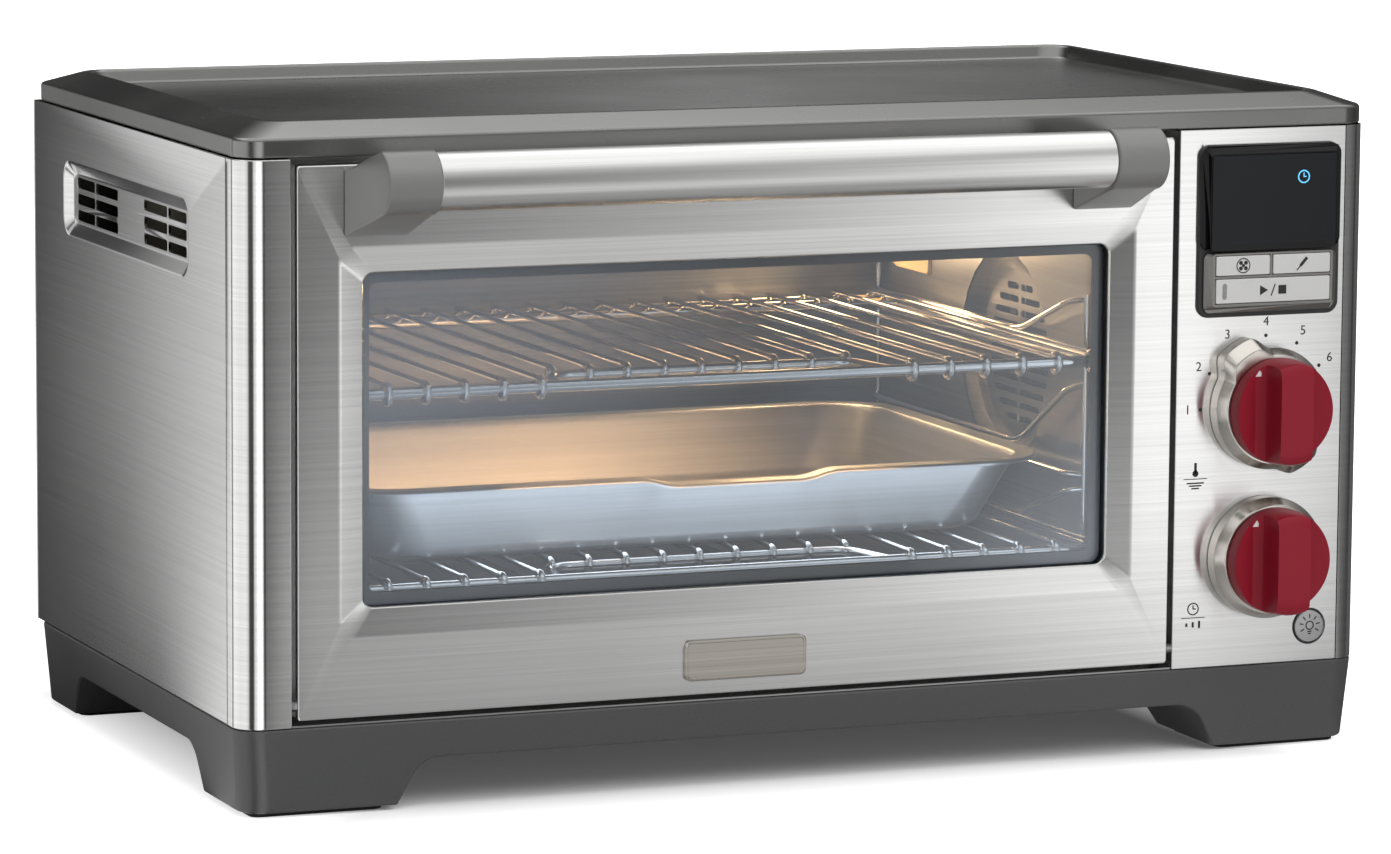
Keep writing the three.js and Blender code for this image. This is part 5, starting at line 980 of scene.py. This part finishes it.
for lamp in pan_lamps:
    lamp.light_linking.receiver_collection = in_pan
refinish(mill_steel, "crumb_tray")

# ------------------------------------------------------------------ door
# The door is a brushed steel pressing. A sloping frame is pressed round its window, and a plain steel
# frame closes its back and holds the inner glass.
BEZEL_SIDE = 0.0204
BEZEL_END = 0.0378
BEZEL_SLOPE = 0.0125
BEZEL_DEPTH = 0.0031
BEZEL_RADIUS = 0.008
WINDOW_DEPTH = 0.0075
WINDOW_RADIUS = 0.005
DOOR_RADIUS = 0.0015
DOOR_SHEET = 0.0009
FIT = 0.0003
door_low, door_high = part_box("door_skin")
bezel = Vector((BEZEL_SIDE, BEZEL_END))
slope = Vector((BEZEL_SLOPE, BEZEL_SLOPE))
window_low, window_high = door_low.xz + bezel + slope, door_high.xz - bezel - slope
bm = bmesh.new()
skin(bm, [ring(bm, door_low.xz + inset, door_high.xz - inset, radius, door_low.y + depth, "XZ", 8)
    for inset, radius, depth in ((bezel + slope, WINDOW_RADIUS, WINDOW_DEPTH + SHEET),
        (bezel + slope, WINDOW_RADIUS, BEZEL_DEPTH), (bezel, BEZEL_RADIUS, 0), (Vector((0, 0)), DOOR_RADIUS, 0),
        (Vector((0, 0)), DOOR_RADIUS, door_high.y - door_low.y))], first=False, last=False)
door_sheet = put("door_pressing", bm, steel, "door", "brushed_steel", "door_skin")
soften(door_sheet, 0.0011, 4, 12)
thicken(door_sheet, DOOR_SHEET)
refinish(mill_steel, "door_inner_frame")

# The badge is a bare plate of satin nickel with a raised rim, glued under the window.
BADGE_RADIUS = 0.003
BADGE_RIM = 0.0011
nickel = brushed("satin_nickel", (0.46, 0.43, 0.39), (0.60, 0.57, 0.52), 0.28, 0.2, 0.000012)
low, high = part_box("badge_plate")
bm = stacked(low.xz, high.xz, ((0, BADGE_RADIUS, high.y), (0, BADGE_RADIUS, low.y + 0.0003),
    (0.0003, BADGE_RADIUS, low.y), (BADGE_RIM, BADGE_RADIUS - BADGE_RIM * 0.8, low.y),
    (BADGE_RIM + 0.0003, BADGE_RADIUS - BADGE_RIM, low.y + 0.0005)))
soften(put("bare_badge", bm, nickel, "door", "nickel", "badge_plate"))

# ------------------------------------------------------------------ door glass
# Two panes of toughened glass close the window. The outer one is lightly tinted and has a dark border
# printed round its edge.
FRIT_WIDTH = 0.0052
FRIT_RADIUS = 0.004
OUTER_PAINTED_REFLECTION = 0.16               # how strong the painted reflection on the outer pane is towards its lower right
REFLECTION_LOWER = (-0.06, 0.045)     # from where to where, as X less Z
REFLECTION_LEFT = (1.2, 0.2)          # shares of it at the left edge and near the middle
REFLECTION_UPPER = (0.4, 1.0, 0.11, 0.18)
REFLECTION_COLOR = (0.60, 0.66, 0.75)


def pane_glass(name, tint, painted_reflection=0.0):
    """Clear glass that lets lamp light straight through; a painted reflection, a pale bluish haze, can lie on it."""
    made, tree, shader = bare_finish(name, tint, 0.0, Transmission_Weight=1.0, IOR=1.5)
    bumped(tree, shader, noise_at(tree, 14, 2.0), 0.08, 0.0004)
    # A pale bluish diffuse layer towards the upper left and the lower right is a painted reflection.
    across, _, up = axes(tree, here(tree))
    upper_left = worked(tree, "MULTIPLY", ranged(tree, across, *[share * painted_reflection for share in REFLECTION_LEFT], window_low.x,
        -0.03), ranged(tree, up, *REFLECTION_UPPER))
    lower_right = ranged(tree, worked(tree, "SUBTRACT", across, up), 0, painted_reflection, *REFLECTION_LOWER)
    reflection_haze = tree.nodes.new("ShaderNodeBsdfPrincipled")
    reflection_haze.inputs["Base Color"].default_value = (*REFLECTION_COLOR, 1)
    reflection_haze.inputs["Roughness"].default_value = 0.9
    with_reflection = mixed(tree, worked(tree, "MAXIMUM", upper_left, lower_right), shader.outputs["BSDF"],
        reflection_haze.outputs["BSDF"])
    clear = tree.nodes.new("ShaderNodeBsdfTransparent")
    clear.inputs["Color"].default_value = (*tint, 1)
    rays = tree.nodes.new("ShaderNodeLightPath").outputs
    seen_through = worked(tree, "ADD", rays["Is Camera Ray"], rays["Is Transmission Ray"])
    tree.links.new(mixed(tree, ranged(tree, seen_through, 1, 0), with_reflection, clear.outputs["BSDF"]),
        tree.nodes["Material Output"].inputs["Surface"])
    return made


for which, finish in (("outer", pane_glass("tinted_outer_glass", (0.90, 0.93, 0.96), OUTER_PAINTED_REFLECTION)),
        ("inner", pane_glass("clear_inner_glass", (0.95, 0.96, 0.97)))):
    soften(block(f"{which}_pane", f"{which}_glass", "XZ", WINDOW_RADIUS, finish, "door", "door_glass"), 0.0004, 2)

frit_print = sprayed("printed_border", (0.035, 0.037, 0.040), 0.35, flake=0.1, skin_depth=0.00001)
low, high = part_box("outer_glass")
bm = bmesh.new()
rings = []
for level in (high.y + 0.0001, high.y + 0.00025):
    rings.append(ring(bm, low.xz, high.xz, WINDOW_RADIUS, level))
    rings.append(ring(bm, window_low, window_high, FRIT_RADIUS, level, inset=FRIT_WIDTH))
skin(bm, [rings[0], rings[1], rings[3], rings[2], rings[0]], first=False, last=False)
put("window_border", bm, frit_print, "door", "door_glass")

# ------------------------------------------------------------------ handle
# A tube of brushed steel spans the door. It is held in two cast brackets in graphite paint, which taper
# from a foot, bolted to the door from behind, to a round cap at the bar.
CAP_RADIUS = 0.01475
CAP_BEVEL = 0.0013
CAP_TAPER = 0.0050
FOOT_WIDTH = 0.031
FOOT_DROP = 0.003
FOOT_HEIGHT = 0.030
FOOT_END_GAP = 0.0225
RIGHT_SHIFT = 0.0105            # how far the right bracket leans in


def round_grain(finish, axis, turn):
    """Lays a finish's grain round an axis."""
    tree = finish.node_tree
    shader = tree.nodes["Principled BSDF"]
    shader.inputs["Anisotropic Rotation"].default_value = turn
    grain = tree.nodes.new("ShaderNodeTangent")
    grain.direction_type = "RADIAL"
    grain.axis = axis
    tree.links.new(grain.outputs["Tangent"], shader.inputs["Tangent"])


low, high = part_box("handle_bar")
bar_y, bar_z = (low.y + high.y) / 2, (low.z + high.z) / 2
bar_radius = (high.z - low.z) / 2
bar_steel = brushed("brushed_bar", (0.66, 0.66, 0.65), (0.76, 0.76, 0.75), 0.24, 0.85, 0.000006)
round_grain(bar_steel, "X", 0)
outer = door_low.x + FOOT_END_GAP
inner = outer + FOOT_WIDTH
bar_left = inner - CAP_TAPER
bar_right = door_high.x - (bar_left - door_low.x) - RIGHT_SHIFT
bm = turned(((0, bar_left), (bar_radius, bar_left), (bar_radius, bar_right), (0, bar_right)),
    (0, bar_y, bar_z), (1, 0, 0), 72)
soften(put("bar_tube", bm, bar_steel, "door", "brushed_steel", "handle_bar"), 0.0003, 2)
bracket_paint = sprayed("bracket_paint", (0.215, 0.215, 0.212), 0.40, 0.25)
foot_top = door_high.z - FOOT_DROP
foot_low = foot_top - FOOT_HEIGHT
for side in ("left", "right"):
    outline = [(door_low.y, foot_low), (door_low.y, foot_top)]
    for step in range(17):
        turn = math.radians(97 + step * 10.5)
        outline.append((bar_y + CAP_RADIUS * math.cos(turn), bar_z + CAP_RADIUS * math.sin(turn)))
    bracket = put(f"{side}_cast_bracket", prism(outline, outer, FOOT_WIDTH, "YZ"), bracket_paint, "door",
        "graphite", f"{side}_handle_bracket")
    ahead = bar_y - 2 * CAP_RADIUS
    carve(bracket, prism(((inner, door_low.y + PAST), (inner, door_low.y), (bar_left, bar_y),
        (bar_left, ahead), (inner + PAST, ahead), (inner + PAST, door_low.y + PAST)), foot_low - PAST,
        FOOT_HEIGHT + 6 * PAST, "XY"))
    if side == "right":
        flip = bmesh.new()
        flip.from_mesh(bracket.data)
        bmesh.ops.scale(flip, vec=(-1, 1, 1), verts=flip.verts)
        bmesh.ops.translate(flip, vec=(door_low.x + door_high.x, 0, 0), verts=flip.verts)
        for vert in flip.verts:
            vert.co.x -= RIGHT_SHIFT * min(1, (door_low.y - vert.co.y) / (door_low.y - bar_y))
        bmesh.ops.recalc_face_normals(flip, faces=flip.faces)
        flip.to_mesh(bracket.data)
        flip.free()
    soften(bracket, CAP_BEVEL, 3, 28)

# ------------------------------------------------------------------ control panel
# The controls stand on a sheet of the same brushed steel. Its marks are printed in black: a dot and a
# number for each of six functions, and a plain picture beside each knob.
PANEL_SHEET = 0.0015
PANEL_FOLD = 0.0096
SOCKET = 0.0056
MARK_LIFT = 0.00004
MARK_DEPTH = 0.00006
FACE_LIFT = MARK_LIFT + MARK_DEPTH
CAP_HEIGHT = 0.72               # of a figure, as a share of its size
DOT_REACH = 0.0345
LABEL_REACH = 0.0412
panel_low, panel_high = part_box("control_panel")
panel_face, panel_back = panel_low.y, panel_low.y + PANEL_SHEET
control_x, _, upper_z = span("temperature_knob")[2]
lower_z = span("time_knob")[2].z
light_low, light_high, light = span("light_button")
tray_low, tray_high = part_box("display_tray")


def disc(bm, x, z, level, radius, steps=20, inner=0.0, depth=MARK_DEPTH):
    """A flat round mark, or a ring where it has an inner radius."""
    profile = ((inner, level), (radius, level), (radius, level + depth), (inner, level + depth))
    turned(profile + (profile[:1] if inner else ()), (x, 0, z), (0, 1, 0), steps, bm)


def bar(bm, x, z, level, length, width, degrees=0):
    """A straight mark of a length and width, turned about its middle."""
    turn = math.radians(degrees)
    along = Vector((math.cos(turn), math.sin(turn))) * length / 2
    across = Vector((-math.sin(turn), math.cos(turn))) * width / 2
    middle = Vector((x, z))
    prism([middle + a for a in (-along - across, along - across, along + across, -along + across)], level,
        MARK_DEPTH, bm=bm)


def figure(bm, x, z, level, words, height):
    """A number drawn flat on the front of the oven, with a little depth."""
    text = bpy.data.curves.new("figure", "FONT")
    text.body = words
    text.size = height / CAP_HEIGHT
    text.align_x = "CENTER"
    text.align_y = "CENTER"
    text.extrude = MARK_DEPTH / 2
    text.resolution_u = 4
    drawn = placed("figure", text)
    bpy.context.view_layer.update()
    mesh = bpy.data.meshes.new_from_object(drawn)
    bpy.data.objects.remove(drawn)
    mesh.transform(Matrix.Translation((x, level + MARK_DEPTH / 2, z)) @ Matrix.Rotation(math.pi / 2, 4, "X"))
    bm.from_mesh(mesh)
    bpy.data.meshes.remove(mesh)


def draw(bm, x, z, face, *shapes):
    """Marks about a spot on a face; each has its kind, its place from the spot and its measures."""
    for kind, across, up, *measures in shapes:
        kind(bm, x + across, z + up, face - FACE_LIFT, *measures)
    return bm


def around(degrees, reach):
    """A place at a heading and a reach."""
    return reach * math.cos(math.radians(degrees)), reach * math.sin(math.radians(degrees))


left, right = panel_low.x, panel_high.x
inner_left, inner_right, fold = left + PANEL_SHEET, right - PANEL_SHEET, panel_face + PANEL_FOLD
bm = prism(((left, panel_face), (right, panel_face), (right, fold), (inner_right, fold), (inner_right, panel_back),
    (inner_left, panel_back), (inner_left, panel_high.y), (left, panel_high.y)), panel_low.z,
    panel_high.z - panel_low.z, "XY")
control_panel = put("control_sheet", bm, steel, "case", "brushed_steel", "control_panel")
opening = Vector((SOCKET - FIT, SOCKET - FIT))
start, depth = panel_face - PAST, PAST + 2 * PANEL_SHEET
holes = slab(tray_low.xz + opening, tray_high.xz - opening, start, depth)
for x, z, radius in ((control_x, upper_z, 0.006), (control_x, lower_z, 0.0035), (light.x, light.z, 0.0083)):
    disc(holes, x, z, start, radius, 40, depth=depth)
carve(control_panel, holes)
soften(control_panel, 0.0004, 2, 62)

marks = bmesh.new()
for number, heading in enumerate((180, 150, 120, 90, 61, 33), 1):
    draw(marks, control_x, upper_z, panel_face, (disc, *around(heading, DOT_REACH), 0.0009, 14),
        (figure, *around(heading, LABEL_REACH), str(number), 0.0046))

# Below and beside each knob a small picture stands over a rule: a thermometer, and a clock.
LABEL_X = panel_low.x + 0.0110
rule = (bar, 0, 0, 0.0125, 0.0004)
draw(marks, LABEL_X, upper_z - 0.0335, panel_face, rule, (disc, 0, 0.0026, 0.0016),
    (bar, 0, 0.0053, 0.0050, 0.0013, 90),
    *[(bar, 0, -0.0020 - 0.0013 * step, 0.0092 - 0.0026 * step, 0.0007) for step in range(3)])
draw(marks, LABEL_X, lower_z - 0.0285, panel_face, rule, (disc, 0, 0.0043, 0.0031, 28, 0.0025),
    (bar, 0, 0.0052, 0.0019, 0.0006, 90), (bar, 0.0007, 0.0043, 0.0017, 0.0006),
    *[(bar, -0.0034 + 0.0034 * step, -0.0034, 0.0017 + 0.0009 * step, 0.0011, 90) for step in range(3)])
draw(marks, light.x, light.z, panel_face, (disc, 0, 0, 0.0089, 48, 0.0084))
mark_ink = sprayed("mark_ink", (0.018, 0.018, 0.018), 0.5, flake=0.1, skin_depth=0.00001)
put("panel_marks", marks, mark_ink, "case", "black_plastic")

# ------------------------------------------------------------------ display and buttons
# The display is a block of black gloss plastic, with sloping edges round a flat screen, on a thin
# black gasket. Under it a silver block holds three keys.
MODULE_RADIUS = 0.006
MODULE_BEVEL = 0.0045
SCREEN_EDGE = 0.0004
KEY_SLOPE = 0.0032
KEY_FLOOR = 0.001
KEY_RADIUS = 0.0008
gloss_black = clouded("gloss_black_plastic", (0.008, 0.008, 0.009), 0.10, 0, 30, 4.0, polish=(0.06, 0.14),
    bump=(0.05, 0.0001), Specular_IOR_Level=0.16)
bm = stacked(tray_low.xz, tray_high.xz, ((0, MODULE_RADIUS, panel_face - FIT / 3),
    (0, MODULE_RADIUS, tray_low.y + 0.0007), (0.0005, MODULE_RADIUS, tray_low.y)), steps=10)
stacked(tray_low.xz, tray_high.xz, ((SOCKET, 0.002, panel_face - FIT / 3), (SOCKET, 0.002, tray_high.y)), steps=4,
    bm=bm)
soften(put("display_gasket", bm, black_plastic, "case", "black_plastic", "display_tray"))

lens_low, lens_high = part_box("display_lens")
screen_low = Vector((tray_low.x + MODULE_BEVEL, lens_low.z + 0.0005))
screen_high = Vector((tray_high.x - MODULE_BEVEL, tray_high.z - MODULE_BEVEL))
bm = bmesh.new()
skin(bm, [ring(bm, lens_low.xz, lens_high.xz, MODULE_RADIUS - 0.001, lens_high.y - ahead, "XZ", 10)
    for ahead in (0, 0.0008)] + [ring(bm, screen_low, screen_high, radius, lens_low.y + back, "XZ", 6, inset)
        for inset, radius, back in ((-SCREEN_EDGE, 0.0015, 0), (0, 0.001, 0), (SCREEN_EDGE, 0.001, 0.0003))])
soften(put("display_block", bm, gloss_black, "case", "black_gloss", "display_lens"), 0.0002, 2, 20)

# The screen sits a hair behind the slopes. It shows a small blue clock.
screen_glass = clouded("screen_glass", (0.015, 0.016, 0.018), 0.16, 0, 25, 3.0,
    ((0.012, 0.013, 0.015), (0.018, 0.019, 0.021)), Specular_IOR_Level=0.12)
bm = stacked(screen_low, screen_high, [(SCREEN_EDGE * 1.2, 0.001, lens_low.y + back) for back in (0.0002, 0.0006)])
put("screen_pane", bm, screen_glass, "case", "black_gloss")
blue_light = clouded("blue_segments", (0.05, 0.30, 0.55), 0.4, 0, 900, 1.0,
    ((0.10, 0.45, 0.80), (0.18, 0.60, 0.95)), "Emission Color", Emission_Strength=1.1)
put("screen_clock", draw(bmesh.new(), screen_high.x - 0.0175, screen_high.y - 0.0115, lens_low.y + 0.0002,
    (disc, 0, 0, 0.0032, 32, 0.0026), (bar, 0, 0.0009, 0.0020, 0.0005, 90), (bar, 0.0006, 0, 0.0016, 0.0005)),
    blue_light, "case", "black_gloss")

# The silver block is sprayed plastic: a sloping edge on three sides, and a pocket for each key.
silver_edge = sprayed("silver_edge_paint", (0.24, 0.235, 0.225), 0.32, 0.75, flake=0.15, skin_depth=0.00003)
silver_paint = sprayed("silver_key_paint", (0.64, 0.64, 0.63), 0.34, 0.30, flake=0.06, skin_depth=0.00003)
key_low, key_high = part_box("key_block")
bm = bmesh.new()
skin(bm, [
    ring(bm, key_low.xz, key_high.xz, 0.0035, key_high.y, "XZ", 8),
    ring(bm, key_low.xz, key_high.xz, 0.0035, key_high.y - 0.0008, "XZ", 8),
    ring(bm, (key_low.x + KEY_SLOPE, key_low.z + KEY_SLOPE), (key_high.x - KEY_SLOPE, key_high.z - 0.0004), 0.0015,
        key_low.y),
])
key_frame = put("key_surround", bm, silver_edge, "case", "silver_key", "key_block")
pockets = bmesh.new()
gap = Vector((FIT, FIT))
for key in ("fan", "probe", "start_stop"):
    button = f"{key}_button"
    low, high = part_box(button)
    slab(low.xz - gap, high.xz + gap, key_low.y - PAST, PAST + key_high.y - key_low.y - KEY_FLOOR, bm=pockets)
    soften(block(f"{key}_key", button, "XZ", KEY_RADIUS, silver_paint, button, "silver_key", 4), 0.0004, 3)
carve(key_frame, pockets)
soften(key_frame, 0.00025, 2, 25)


def triangle(bm, x, z, level, half_width, half_height):
    """A flat mark that points to the right."""
    prism(((x - half_width, z - half_height), (x + half_width, z), (x - half_width, z + half_height)), level,
        MARK_DEPTH, bm=bm)


# Pictures on the keys: a fan, a probe, and the signs for start and stop beside a small lamp.
for key, name, shapes in (
        ("fan", "fan", [(disc, 0, 0, 0.0037, 32, 0.0032), (disc, 0, 0, 0.0008, 12)]
            + [(disc, *around(45 + 90 * blade, 0.0019), 0.0010, 14) for blade in range(4)]),
        ("probe", "probe", [(bar, 0.0010, 0.0008, 0.0052, 0.0015, 48), (bar, -0.0016, -0.0021, 0.0032, 0.0006, 48)]),
        ("start_stop", "start", [(triangle, -0.0049, 0, 0.0021, 0.0024), (bar, 0.0049, 0, 0.0042, 0.0042),
            (bar, 0, 0, 0.0060, 0.0006, 70)])):
    low, high, middle = span(f"{key}_button")
    put(f"{name}_key_picture", draw(bmesh.new(), middle.x, middle.z, low.y, *shapes), mark_ink, f"{key}_button",
        "black_plastic")
lamp_cover = clouded("indicator_cover", (0.20, 0.21, 0.21), 0.25, 0, 500, 2.0,
    ((0.16, 0.17, 0.17), (0.28, 0.29, 0.29)), Coat_Weight=0.5)
x, z = low.x + 0.0046, middle.z
bm = stacked((x - 0.0011, z - 0.0038), (x + 0.0011, z + 0.0038),
    ((0, 0.0010, low.y + 0.0002), (0, 0.0010, low.y - 0.0002)), steps=5)
soften(put("key_indicator", bm, lamp_cover, "start_stop_button", "black_plastic"), 0.0001, 2)

# The lamp button is a silver disc in a dark ring, with a picture of a lit bulb.
LIGHT_RADIUS = 0.0078
LIGHT_FLANGE = 0.0015
bm = turned(((0, light_low.y), (LIGHT_RADIUS - 0.0006, light_low.y), (LIGHT_RADIUS - 0.0001, light_low.y + 0.0004),
    (LIGHT_RADIUS, light_low.y + 0.0008), (LIGHT_RADIUS, light_high.y - LIGHT_FLANGE),
    (LIGHT_RADIUS + 0.002, light_high.y - LIGHT_FLANGE), (LIGHT_RADIUS + 0.002, light_high.y), (0, light_high.y)),
    (light.x, 0, light.z), steps=56)
lamp_key_paint = sprayed("lamp_key_paint", (0.45, 0.45, 0.455), 0.34, 0.60, flake=0.06, skin_depth=0.00003)
soften(put("lamp_key", bm, lamp_key_paint, "light_button", "silver_key", "light_button"))
put("lamp_key_picture", draw(bmesh.new(), light.x, light.z + 0.0004, light_low.y, (disc, 0, 0, 0.0023, 28, 0.0017),
    (bar, 0, -0.0030, 0.0022, 0.0006), (bar, 0, -0.0040, 0.0016, 0.0006),
    *[(bar, *around(ray, 0.0045), 0.0022, 0.0006, ray) for ray in range(-30, 211, 40)]),
    mark_ink, "light_button", "black_plastic")

# ------------------------------------------------------------------ collars and knobs
# The upper collar is a turned nickel ring with two raised pointers that picks the function. The lower
# collar is fixed. The knobs are deep red plastic with a raised grip, and each turns by itself.
COLLAR_RADIUS = 0.0295
COLLAR_BEVEL = 0.005
COLLAR_STEPS = 180
LOBE_RISE = 0.007
LOBE_ANGLE = math.radians(122)
LOBE_HALF = math.radians(29)
LOBE_FLANK = math.radians(18)
LOWER_LOBE = 0.62               # height of the lower pointer, as a share of the upper one
KNOB_RADIUS = 0.0255
KNOB_HEIGHT = 0.021
KNOB_SKIRT = 0.007
GRIP_WIDTH = 0.0187
turned_nickel = clouded("turned_nickel", (0.62, 0.59, 0.54), 0.24, 1.0, 900, 2.0,
    ((0.62, 0.585, 0.54), (0.68, 0.645, 0.60)), polish=(0.22, 0.25), Anisotropic=0.5)
round_grain(turned_nickel, "Y", 0.25)
for name, node, body, z, rise in (("function_ring", "mode_ring", "mode_ring", upper_z, LOBE_RISE),
        ("time_bezel", "time_collar", "case", lower_z, 0)):
    low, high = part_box(node)
    bm = bmesh.new()
    rings = []
    for radius, level, share in ((COLLAR_RADIUS, panel_face - 0.0004, 1),
            (COLLAR_RADIUS, low.y + COLLAR_BEVEL + 0.0006, 1), (COLLAR_RADIUS - 0.0002, low.y + COLLAR_BEVEL, 1),
            (KNOB_RADIUS + 0.0011, low.y + 0.0004, 0.72), (KNOB_RADIUS + 0.0004, low.y, 0.68),
            (KNOB_RADIUS - 0.002, low.y, 0.1), (0.004, low.y, 0)):
        centre = Vector((control_x, level, z))
        circle = circle_at(bm, centre, radius, COLLAR_STEPS)
        for vert in circle:
            turn = math.atan2(vert.co.z - z, vert.co.x - control_x)
            off = abs((turn - LOBE_ANGLE + math.pi / 2) % math.pi - math.pi / 2)
            lobe = eased(min(1, max(0, (LOBE_HALF - off) / LOBE_FLANK))) * (1 if turn > 0 else LOWER_LOBE)
            vert.co = centre + (vert.co - centre) * (1 + rise * share * lobe / radius)
        rings.append(in_turn({e for v in circle for e in v.link_edges}, centre))
    skin(bm, rings)
    soften(put(name, bm, turned_nickel, body, "nickel", node), 0.0005, 3, 38)

red_plastic = sprayed("deep_red_plastic", (0.26, 0.008, 0.022), 0.36, flake=0.05, skin_depth=0.00003,
    Specular_IOR_Level=0.20, Coat_Weight=0.05, Coat_Roughness=0.15)
white_mark = sprayed("white_pointer_ink", (0.75, 0.74, 0.72), 0.5, flake=0.06, skin_depth=0.00001)
for which, z in (("temperature", upper_z), ("time", lower_z)):
    node = f"{which}_knob"
    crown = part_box(node)[0].y
    back = crown + KNOB_HEIGHT
    floor = back - KNOB_SKIRT
    bm = turned(((0, crown), (KNOB_RADIUS - 0.0075, crown), (KNOB_RADIUS - 0.0040, crown + 0.0004),
        (KNOB_RADIUS - 0.0018, crown + 0.0018), (KNOB_RADIUS - 0.0010, crown + 0.0040), (KNOB_RADIUS, floor),
        (KNOB_RADIUS, back - 0.001), (KNOB_RADIUS - 0.001, back), (0, back)), (control_x, 0, z), steps=96)
    knob = put(f"{which}_cap", bm, red_plastic, node, "red_plastic", node)
    for side in (-1, 1):
        near = control_x + side * GRIP_WIDTH / 2
        far = control_x + side * (KNOB_RADIUS + 0.002)
        carve(knob, prism(((near - side * 0.0014, crown - PAST), (near, floor - 0.004),
            (near + side * 0.001, floor - 0.0012), (near + side * 0.006, floor), (far, floor - 0.0022),
            (far, crown - PAST)), z - KNOB_RADIUS - 0.002, 2 * KNOB_RADIUS + 0.004, "XY"))
    soften(knob, 0.0009, 4, 30)
    x, tip = control_x - 0.0137, z + 0.0208
    bm = prism(((x - 0.0021, tip - 0.0030), (x + 0.0021, tip - 0.0030), (x, tip)), floor - 0.0006, 0.0012)
    put(f"{which}_pointer", bm, white_mark, node, "red_plastic")

# ------------------------------------------------------------------ behind the panel
# Two encoders and the circuit board stand behind the steel, out of sight.
refinish(black_plastic, "dual_encoder", "time_encoder")
refinish(sprayed("board_lacquer", (0.014, 0.105, 0.045), 0.4, flake=0.3, skin_depth=0.0002), "control_board")
